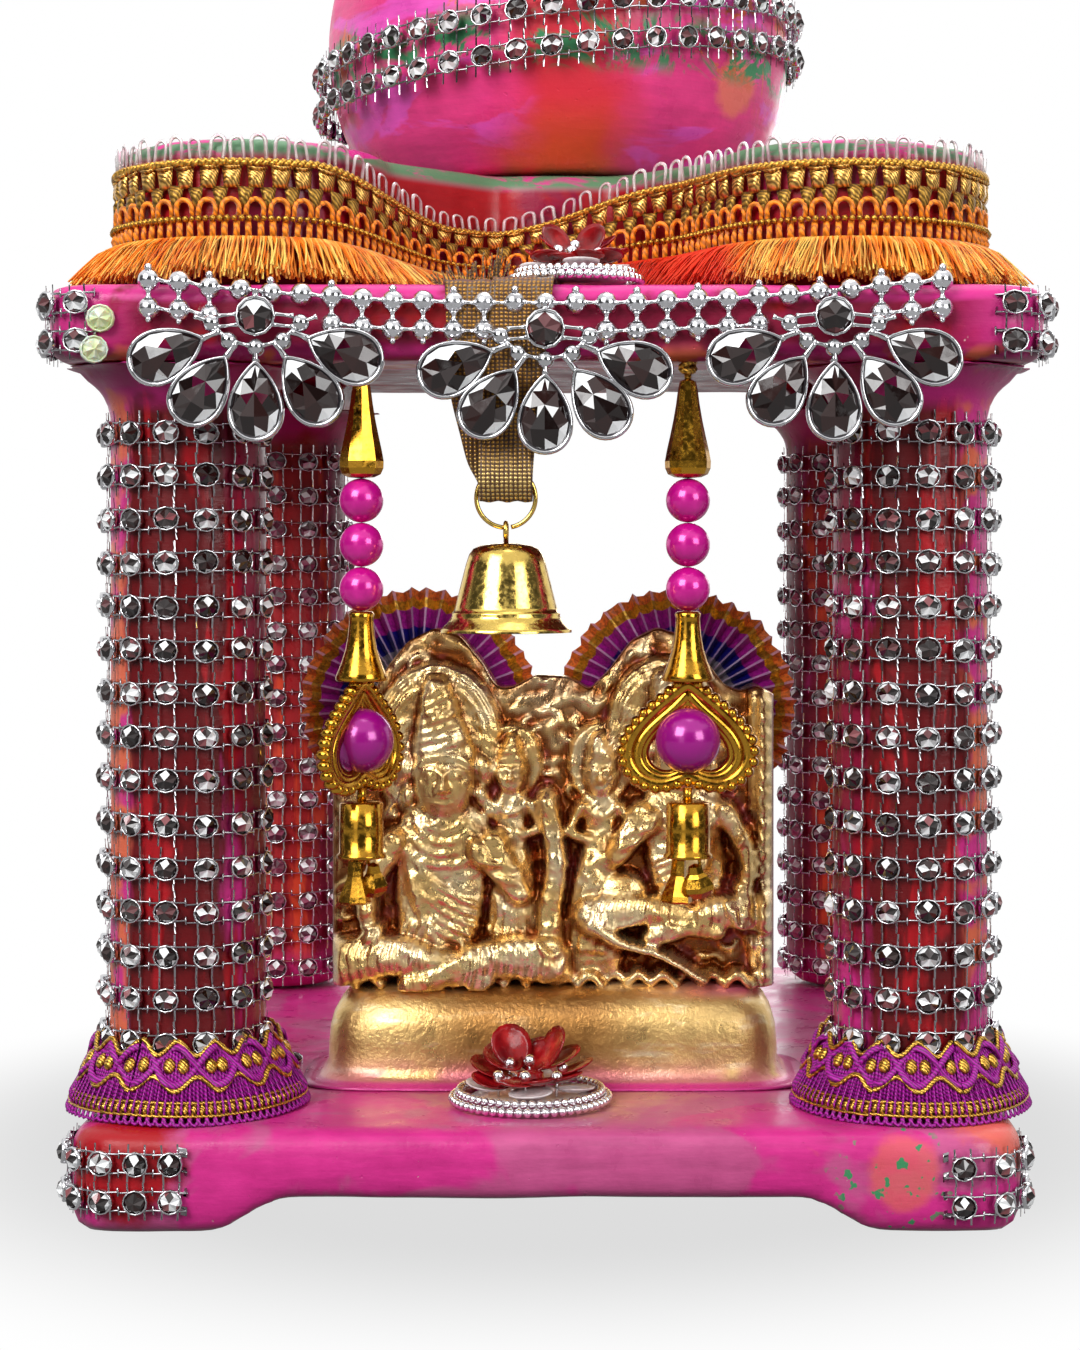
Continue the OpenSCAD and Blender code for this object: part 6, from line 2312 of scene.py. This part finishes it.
@shared_look
def petal_look(name):
    """Translucent dark-red petals, and clear sequins where the tint is above one half."""
    look = Look(name, roughness=0.2, coat_weight=0.2, coat_roughness=0.08, ior=1.35)
    clear = look.above(look.attribute("tint"), 0.5)
    metal = look.below(look.attribute("tint"), 0.0)
    cloud = look.noise(look.place(), 210.0, 3.0, 0.6)
    red = look.ramp(cloud, [(0.3, (0.12, 0.002, 0.004)), (0.55, (0.34, 0.005, 0.008)),
                            (0.75, (0.66, 0.03, 0.03))])
    pale = look.ramp(cloud, [(0.3, (0.5, 0.38, 0.38)), (0.6, (0.82, 0.76, 0.76))])
    base = look.mix(metal, look.mix(clear, red, pale), (0.9, 0.9, 0.92))
    passing = look.times(look.minus(1.0, clear), 0.16)
    passing = look.times(passing, look.minus(1.0, metal))
    look.wire(base_color=base, transmission_weight=passing, metallic=metal)
    return look.bump(look.noise(look.place(), 620.0, 2.0), 0.0002, 0.4)


class MANDIR_OT_flowers(bpy.types.Operator):
    """Sequin flowers on the floor and on the roof"""

    bl_idname = "mandir.flowers"
    bl_label = "Sequin Flowers"

    def execute(self, context):
        look = petal_look("Sequin Petals")
        for i, (node, spread) in enumerate((("base_flower", 15.0), ("roof_flower", 12.5))):
            centre = middle(node)
            shape = flower_shape(spread * MM, 12.0 * MM, 5 + i)
            lowest = shape.points[:, 2].min()
            shape = shape.at(centre.x, centre.y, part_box(node)[0].z - lowest)
            add_piece(node + "_petals", shape, look, "red_sequins", node)
        return {"FINISHED"}


# ---- Ribbon, ring and bell ----


class MANDIR_OT_bell(bpy.types.Operator):
    """Woven gold ribbon, ring and ribbed brass bell"""

    bl_idname = "mandir.bell"
    bl_label = "Ribbon and Bell"

    def execute(self, context):
        self.ribbon(context.scene.mandir_hanging)
        self.ring()
        self.bell()
        return {"FINISHED"}

    def ribbon(self, hanging):
        """Strip from the roof, down the cornice, folded round the ring and back up to the roof."""
        low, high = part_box("bell_ribbon")
        ring = middle("bell_ring")
        thick = 0.45 * MM
        edge = CORNICE_LOW.y
        roof = high.z - thick
        bottom = low.z
        apex = bottom + 18.0 * MM
        wide = half_width("bell_ribbon")
        run = [
            (-6.5, high.y, roof), (-6.0, high.y - 5 * MM, roof), (-5.5, edge + 1.5 * MM, roof),
            (-5.2, edge - 0.5 * MM, roof - 1.6 * MM), (-5.0, edge - 0.7 * MM, roof - 8 * MM),
            (-4.8, edge - 0.6 * MM, apex + 4 * MM), (-4.4, ring.y + 1.2 * MM, apex),
            (-2.2, ring.y + 2.1 * MM, bottom + 8 * MM),
            (-0.3, ring.y + 2.4 * MM, bottom + 3.5 * MM), (0.0, ring.y, bottom + thick),
            (0.0, ring.y - 2.4 * MM, bottom + 3.5 * MM),
            (0.2, ring.y - 2.2 * MM, bottom + 9 * MM), (0.6, ring.y - 2.0 * MM, apex),
            (1.4, edge - 1.3 * MM, apex + 4 * MM), (2.4, edge - 1.3 * MM, roof - 8 * MM),
            (3.0, edge - 1.1 * MM, roof - 1.6 * MM), (3.2, edge + 1.5 * MM, roof + thick),
            (3.6, high.y - 5 * MM, roof + thick), (4.6, high.y, roof + thick),
        ]
        line = smooth_line([(ring.x + x * MM, y, z) for x, y, z in run], 6)
        far = distances_along(line)
        levels = [bottom, bottom + 6 * MM, apex, high.z]
        half = np.interp(line[:, 2], levels, [0.88, 0.9, 0.97, 1.0]) * wide
        ahead = np.gradient(line, axis=0)
        ahead /= np.linalg.norm(ahead, axis=1)[:, None]
        normal = np.column_stack([ahead[:, 0], -ahead[:, 2], ahead[:, 1]])
        across = 15
        rings = []
        for p, n, h, d in zip(line, normal, half, far):
            upper, lower = [], []
            for k in range(across):
                u = 2 * k / (across - 1) - 1
                curl = 0.16 * MM * math.cos(u * 9 + d * 700) * (1 - 0.3 * u * u)
                at = p + (u * h, 0, 0)
                upper.append(at + n * (curl + thick / 2))
                lower.append(at + n * (curl - thick / 2))
            rings.append(upper + lower[::-1])
        look = ribbon_look("Woven Gold Ribbon", tuple(hanging.brass), hanging.weave, bottom)
        piece = add_piece("bell_ribbon_strip", skin(rings), look, "gold_ribbon", "bell_ribbon")
        self.frayed_ends([line[0], line[-1]], wide, look)

    def frayed_ends(self, ends, wide, look):
        """Loose threads that stand up at the ribbon's two ends on the roof."""
        rng = np.random.default_rng(12)
        parts = []
        for end, height in zip(ends, (8.5, 5.0)):
            for _ in range(46):
                u = rng.uniform(-1, 1)
                start = end + (u * wide, -1.0 * MM, 0.1 * MM)
                up = height * MM * rng.uniform(0.45, 1.0) * (0.65 + 0.35 * u)
                tip = start + (u * 1.5 * MM + rng.normal(0, 0.7) * MM, rng.uniform(0, 3.0) * MM, up)
                mid = (start + tip) / 2 + (rng.normal(0, 0.3) * MM, 1.0 * MM, -0.1 * up)
                parts.append(tube([start, mid, tip], 0.15 * MM, 3))
        add_piece("ribbon_threads", joined(parts), look, "gold_ribbon")

    def ring(self):
        centre = middle("bell_ring")
        thick = 0.42 * MM
        r = half_width("bell_ring") - thick
        angles = np.radians(np.linspace(-80, 268, 49))
        path = [(centre.x + r * math.cos(a), centre.y, centre.z + r * math.sin(a)) for a in angles]
        wire = tube(path, thick, 10)
        add_piece("ring_wire", wire, brass_look(), "brass", "bell_ring", body="ring")

    def bell(self):
        """Ribbed bell with its eye."""
        low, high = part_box("bell")
        centre = middle("bell")
        r = half_width("bell")
        h = (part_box("bell_ring")[0].z - low.z) - 2.2 * MM
        wall = 0.7 * MM
        # Shares of the radius and of the height
        outer = [
            (1.0, 0.0), (1.0, 0.025), (0.97, 0.05), (0.9, 0.1), (0.845, 0.15), (0.82, 0.185),
            (0.825, 0.205), (0.81, 0.225), (0.795, 0.23), (0.775, 0.28), (0.72, 0.44),
            (0.665, 0.6), (0.61, 0.76), (0.56, 0.87), (0.5, 0.93), (0.4, 0.965), (0.25, 0.985),
            (0.1, 1.0), (0.02, 1.0),
        ]
        profile = [(a * r, low.z + b * h) for a, b in outer]
        inner = [(max(a * r - wall, 0.0002), low.z + b * h - (wall if b > 0.9 else 0.0))
                 for a, b in outer[::-1]]
        shape = lathe(profile + inner, 56, caps=False)
        tip = low.z + h
        thick = 0.45 * MM
        eye_r = 1.35 * MM
        turn = np.radians(np.linspace(-70, 250, 25))
        eye_z = high.z - thick - eye_r
        loop = [(0.0, eye_r * math.cos(a), eye_z + eye_r * math.sin(a)) for a in turn]
        shank = [(0.0, 0.0, tip - 0.3 * MM), (0.0, 0.1 * MM, high.z - 2 * eye_r - 1.4 * MM)]
        eye = tube(shank + loop, thick, 8)
        whole = joined([shape, eye]).at(centre.x, centre.y, 0.0)
        add_piece("bell_shell", whole, brass_look(), "brass", "bell", body="bell")


@shared_look
def ribbon_look(name, gold, weave, bottom):
    """Gold threads woven across a darker warp, with a painted highlight near the bottom, where the
    ribbon turns round the ring.
    """
    look = Look(name, roughness=0.38, sheen_weight=0.15)
    place = look.place()
    warp = look.wave(place, 0.314 / weave, 0.4, "X")
    weft = look.wave(place, 0.36 / weave, 0.8, "Z")
    loose = look.noise(place, 700.0, 3.0, 0.6)
    over = look.times(warp, weft)
    shine = look.span(look.plus(over, look.times(loose, 0.5)), 0.25, 0.75)
    dark = (0.07, 0.025, 0.006)
    thread = (0.46 * gold[0], 0.32 * gold[1], 0.22 * gold[2])
    # Painted highlight: paler and yellower towards the bottom
    fold_highlight = look.span(look.axes(place)[2], bottom + 0.001, bottom + 0.011, 0.75, 0.0)
    thread = look.mix(fold_highlight, thread, (0.9, 0.68, 0.26))
    look.wire(base_color=look.mix(shine, dark, thread), metallic=look.times(shine, 0.85))
    return look.bump(over, 0.00015, 0.8)


# ---- Tassels ----

# Strung pearls of a tassel, above its cap
PEARLS = 3


def cut_bead(profile, sides):
    """Turned bead with flat facets."""
    return lathe(profile, sides, smooth=False)


class MANDIR_OT_tassels(bpy.types.Operator):
    """Two hanging tassels: cord, drop, pearls, cap, beaded heart, tube, cup and crystal"""

    bl_idname = "mandir.tassels"
    bl_label = "Hanging Tassels"

    def execute(self, context):
        hanging = context.scene.mandir_hanging
        gold = plated_look()
        zari = tuple(context.scene.mandir_fringe.zari)
        cord = thread_look("Gold Cord", zari, 2.5, 0.9, 0.8, 0.35)
        pearl = pearl_look("Pink Pearl", tuple(hanging.pearl))
        for side, turn in (("left", 62.0), ("right", 0.0)):
            body = "tassel_" + side
            centre = middle("tassel_metal_" + side)
            parts = {
                "cord": (self.cord(side), cord, "gold_cord"),
                "metal": (self.metal(side, hanging.strung), gold, "gold_plastic"),
                "pearls": (self.pearls(side, hanging.strung), pearl, "pink_pearl"),
                "heart": (self.heart(side), gold, "gold_plastic"),
                "charms": (self.charms(side), gold, "gold_plastic"),
            }
            for kind, (shape, look, slot) in parts.items():
                shape = shape.at(centre.x, centre.y, 0.0, turn=(0, 0, turn))
                add_piece(f"{kind}_{side}", shape, look, slot, f"tassel_{kind}_{side}", body=body)
        return {"FINISHED"}

    def cord(self, side):
        """Twisted cord with a loop at the top and a round knot."""
        low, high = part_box("tassel_cord_" + side)
        r = 0.45 * MM
        strands = []
        steps = 60
        for phase in (0.0, math.pi):
            path = [(r * 0.8 * math.cos(phase + i * 0.9), r * 0.8 * math.sin(phase + i * 0.9),
                     low.z + (high.z - low.z) * i / steps) for i in range(steps + 1)]
            strands.append(tube(path, r * 0.75, 5))
        knot = 1.15 * MM
        for k, z in enumerate((low.z + 0.0016, low.z + 0.0024, low.z + 0.0031)):
            loop = [(knot * math.cos(a), knot * math.sin(a), z + 0.0005 * math.sin(a + k * 2))
                    for a in np.arange(14) * math.tau / 14]
            strands.append(tube(loop, 0.62 * MM, 6, closed=True))
        return joined(strands)

    def metal(self, side, strung):
        """Faceted drop above the pearls and flared cap with a curled rim below them."""
        low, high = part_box("tassel_metal_" + side)
        r = half_width("tassel_metal_" + side)
        top, bottom = high.z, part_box("tassel_pearls_" + side)[1].z
        h = top - bottom
        drop = [(0.5, 0.0), (2.2, 0.01), (3.3, 0.04), (3.75, 0.1), (3.8, 0.17), (3.5, 0.27),
                (2.95, 0.42), (2.4, 0.58), (1.95, 0.74), (1.65, 0.88), (1.35, 0.97), (0.4, 1.0)]
        reach = r / (4.3 * MM)
        upper = cut_bead([(q * reach * MM, bottom + h * t) for q, t in drop], 10)
        c = bottom - PEARLS * strung - low.z
        cap = [(0.4 * MM, 1.0), (1.9 * MM, 0.995), (2.3 * MM, 0.96), (2.15 * MM, 0.9),
               (2.2 * MM, 0.8), (2.4 * MM, 0.64), (2.8 * MM, 0.46), (3.5 * MM, 0.28),
               (r * 0.93, 0.12), (r, 0.05), (r * 0.98, 0.01), (r * 0.9, 0.0), (r * 0.8, 0.05),
               (3.0 * MM, 0.2), (2.0 * MM, 0.36), (0.1 * MM, 0.4)]
        lower = lathe([(q, low.z + c * t) for q, t in cap], 32)
        return joined([upper, lower])

    def pearls(self, side, strung):
        """Strung pearls under each other and the larger one inside the heart."""
        low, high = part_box("tassel_pearls_" + side)
        pearl = ball(strung * 0.5, 28, 18)
        beads = [pearl.at(z=high.z - strung * (i + 0.5)) for i in range(PEARLS)]
        big = middle("tassel_heart_" + side).z - low.z
        return joined([*beads, ball(big, 28, 18, tint=1.0).at(z=low.z + big)])

    def heart(self, side):
        """Leaf-shaped hoop edged with beads, round a pearl on a thread."""
        low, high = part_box("tassel_heart_" + side)
        wide, tall = 12.2 * MM, 21.4 * MM
        mid = low.z + tall / 2
        turns = np.arange(96) * math.tau / 96
        # Point up; the two lobes meet in a notch below
        x = 16 * np.sin(turns) ** 3
        z = -(13 * np.cos(turns) - 5 * np.cos(2 * turns) - 2 * np.cos(3 * turns)
              - np.cos(4 * turns))
        leaf = np.column_stack([x / 16, (z - (z.max() + z.min()) / 2) / np.ptp(z) * 2])
        rounder = np.column_stack([np.sin(turns), -np.cos(turns)])

        def band(heart_share, share):
            line = leaf * heart_share + rounder * (1 - heart_share)
            line = line / np.abs(line).max(0) * (wide * share, tall / 2 * share)
            return [(x, 0.0, mid + z) for x, z in line]

        parts = [
            tube(band(0.6, 0.88), 1.0 * MM, 8, closed=True, squash=1.3),
            tube(band(0.8, 0.72), 0.7 * MM, 8, closed=True, squash=1.5),
            tube(band(0.85, 0.64), 0.4 * MM, 6, closed=True, squash=2.6),
        ]
        edge = np.array(band(0.55, 0.96))[:, (0, 2)]
        closed = np.vstack([edge, edge[:1]])
        far = distances_along(closed)
        number = 34
        bead = ball(1.02 * MM, 8, 6)
        for at in np.arange(number) * far[-1] / number:
            parts.append(bead.at(np.interp(at, far, closed[:, 0]), 0.0,
                                 np.interp(at, far, closed[:, 1]), scale=(1.0, 1.5, 1.0)))
        top, bottom = mid + tall * 0.4, mid - tall * 0.3
        pearl = (low.z + high.z) / 2
        parts.append(tube([(0, 0, top), (0, 0, pearl + 4.6 * MM)], 0.5 * MM, 6))
        parts.append(tube([(0, 0, pearl - 4.6 * MM), (0, 0, bottom)], 0.5 * MM, 6))
        return joined(parts)

    def charms(self, side):
        """Plain tube with a faceted cup and a cut crystal below it."""
        low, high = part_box("tassel_charms_" + side)
        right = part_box("tassel_charms_right")
        r = (right[1].y - right[0].y) / 2 - 0.3 * MM
        top = high.z
        bottom = low.z + (high.z - low.z) * 0.44
        h = top - bottom
        profile = [(0.4 * MM, 1.0), (r * 0.8, 0.99), (r * 0.93, 0.96), (r * 0.95, 0.5),
                   (r * 0.95, 0.1), (r * 1.06, 0.06), (r * 1.06, 0.01), (r * 0.9, 0.0),
                   (r * 0.8, 0.06), (0.1 * MM, 0.1)]
        parts = [lathe([(q, bottom + h * t) for q, t in profile], 28)]
        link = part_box("tassel_heart_" + side)[0].z + 2.0 * MM
        parts.append(tube([(0, 0, top - 0.2 * MM), (0, 0, link)], 0.9 * MM, 6))
        drop = bottom - low.z
        for x in (-r * 0.5, r * 0.55):
            parts.append(tube([(x * 0.8, 0, bottom + 1.0 * MM), (x, 0, bottom - drop * 0.3)],
                              0.35 * MM, 5))
        cup = [(0.5 * MM, 0.98), (1.3 * MM, 0.95), (1.45 * MM, 0.6), (2.0 * MM, 0.42),
               (2.75 * MM, 0.16), (2.9 * MM, 0.04), (2.6 * MM, 0.0), (2.0 * MM, 0.08),
               (0.1 * MM, 0.12)]
        parts.append(cut_bead([(q, drop * t) for q, t in cup], 6)
                     .at(-r * 0.5, 0.0, low.z, turn=(0, 4, 15)))
        crystal = [(0.1 * MM, 0.92), (1.2 * MM, 0.86), (1.5 * MM, 0.7), (2.1 * MM, 0.62),
                   (2.9 * MM, 0.42), (2.7 * MM, 0.3), (1.4 * MM, 0.14), (0.1 * MM, 0.12)]
        parts.append(cut_bead([(q, drop * t) for q, t in crystal], 6)
                     .at(r * 0.55, -0.8 * MM, low.z, turn=(0, -12, 40)))
        return joined(parts)


@shared_look
def pearl_look(name, colour):
    """Lacquered pearl with a soft pale sheen; violet where the tint is 1."""
    look = Look(name, roughness=0.22, coat_weight=0.4, coat_roughness=0.05, metallic=0.25)
    cloud = look.noise(look.place(), 260.0, 3.0, 0.55)
    sheen = look.mix(look.span(cloud, 0.35, 0.7), colour, toned(colour, 1.25, 0.01))
    violet = (0.62 * colour[0], colour[1], 0.9 * colour[2])
    look.wire(base_color=look.mix(look.attribute("tint"), sheen, violet))
    return look.bump(look.noise(look.place(), 900.0, 2.0), 0.00005, 0.3)


# ---- Stage ----

# Middle of the shrine, which the softboxes face
LIT_PLACE = Vector((0.0, 0.0, 0.15))


class MANDIR_OT_stage(bpy.types.Operator):
    """Camera, pale floor, white surroundings and softboxes"""

    bl_idname = "mandir.stage"
    bl_label = "Stage"

    def execute(self, context):
        stage = context.scene.mandir_stage
        context.scene.view_settings.view_transform = "Standard"
        self.add_camera(context, stage)
        self.add_floor()
        self.add_world(context)
        self.add_lights(stage)
        return {"FINISHED"}

    def add_camera(self, context, stage):
        data = bpy.data.cameras.new("camera")
        data.sensor_width = 36.0
        data.lens = stage.lens
        data.shift_x = -0.062
        data.shift_y = -0.082
        camera = new_object("camera", data)
        camera.location = (stage.side, AXIS_Y - stage.distance, stage.height)
        camera.rotation_euler = (math.pi / 2, 0.0, 0.0)
        context.scene.camera = camera

    def add_floor(self):
        rings = [[(r * math.cos(a), r * math.sin(a), 0.0) for a in np.arange(48) * math.tau / 48]
                 for r in (0.02, 0.4, 1.0, 3.0)]
        floor = make_object("floor", skin(rings))
        look = Look("Pale Floor", roughness=0.6, specular_ior_level=0.1)
        look.wire(base_color=(0.9, 0.9, 0.9))
        glow = look.node("ShaderNodeEmission", {"Color": (1.0, 1.0, 1.0), "Strength": 1.0})
        far = look.vector_math("LENGTH", look.place())["Value"]
        seen = look.node("ShaderNodeLightPath").outputs
        plain = look.most(seen["Is Camera Ray"], seen["Is Glossy Ray"])
        fade = look.times(plain, look.span(far, 0.09, 0.17, 0.72, 1.0))
        # Polished pieces see a duller floor
        dull = look.minus(1.0, look.times(seen["Is Glossy Ray"], 0.55))
        look.feed(glow.inputs["Strength"], dull)
        both = look.node("ShaderNodeMixShader", {0: fade, 1: look.shader.outputs[0],
                                                 2: glow.outputs[0]})
        look.tree.links.new(both.outputs[0], look.tree.nodes["Material Output"].inputs[0])
        floor.data.materials.append(look.material)

    def add_world(self, context):
        world = bpy.data.worlds.new("surroundings")
        world.use_nodes = True
        context.scene.world = world
        g = Graph(world.node_tree)
        background = world.node_tree.nodes["Background"]
        seen = g.node("ShaderNodeLightPath").outputs
        direct = g.most(seen["Is Camera Ray"], seen["Is Transmission Ray"])
        way = g.axes(g.node("ShaderNodeTexCoord").outputs["Generated"])
        # Polished pieces mirror a dim room in front, bright above and behind
        behind = g.span(way[1], 0.0, 0.4)
        above = g.span(way[2], 0.48, 0.64)
        below = g.span(way[2], -0.5, -0.2, 0.45, 0.0)
        window = g.between(way[0], -0.62, -0.5, -0.3, -0.2)
        window = g.times(window, g.span(way[2], -0.1, 0.0))
        bright = g.most(g.most(above, below), g.most(behind, window))
        mirrored = g.plus(0.07, g.times(bright, 0.93))
        glossy = g.times(seen["Is Glossy Ray"], mirrored)
        rest = g.minus(1.0, g.most(direct, seen["Is Glossy Ray"]))
        level = g.plus(g.plus(direct, glossy), g.times(rest, 0.5))
        g.feed(background.inputs["Color"], (1.0, 1.0, 1.0))
        g.feed(background.inputs["Strength"], level)

    def add_lights(self, stage):
        # Name, place, size in metres and power in watts
        boxes = [
            ("key", (-0.55, -0.85, 0.75), 0.6, 11.0),
            ("fill", (0.7, -0.8, 0.45), 0.5, 5.0),
            ("top", (0.1, 0.1, 1.1), 0.7, 3.5),
            ("back", (0.2, 1.0, 0.6), 0.8, 6.0),
        ]
        for name, place, size, power in boxes:
            data = bpy.data.lights.new(name, "AREA")
            data.size = size
            data.energy = power * stage.light
            light = new_object(name, data)
            light.location = place
            aim = LIT_PLACE - Vector(place)
            light.rotation_euler = aim.to_track_quat("-Z", "Y").to_euler()


# ---- Panel and start ----

STEPS = (
    MANDIR_OT_stage, MANDIR_OT_clay, MANDIR_OT_nets, MANDIR_OT_fringe, MANDIR_OT_lace,
    MANDIR_OT_garland, MANDIR_OT_relief, MANDIR_OT_fans, MANDIR_OT_flowers, MANDIR_OT_bell,
    MANDIR_OT_tassels,
)


class MANDIR_PT_panel(bpy.types.Panel):
    bl_idname = "MANDIR_PT_panel"
    bl_label = "Pooja Mandir"
    bl_space_type = "VIEW_3D"
    bl_region_type = "UI"
    bl_category = "Mandir"

    def draw(self, context):
        for step in STEPS:
            self.layout.operator(step.bl_idname)
        for name in SETTINGS:
            box = self.layout.box()
            settings = getattr(context.scene, name)
            for prop in settings.bl_rna.properties:
                if prop.identifier not in ("name", "rna_type"):
                    box.prop(settings, prop.identifier)


def register():
    for cls in (*SETTINGS.values(), *STEPS, MANDIR_PT_panel):
        bpy.utils.register_class(cls)
    for name, cls in SETTINGS.items():
        setattr(bpy.types.Scene, name, PointerProperty(type=cls))


def unregister():
    for name in SETTINGS:
        delattr(bpy.types.Scene, name)
    for cls in (MANDIR_PT_panel, *reversed(STEPS), *SETTINGS.values()):
        bpy.utils.unregister_class(cls)


def main():
    register()
    for step in STEPS:
        group, call = step.bl_idname.split(".")
        getattr(getattr(bpy.ops, group), call)()


if __name__ == "__main__":
    main()
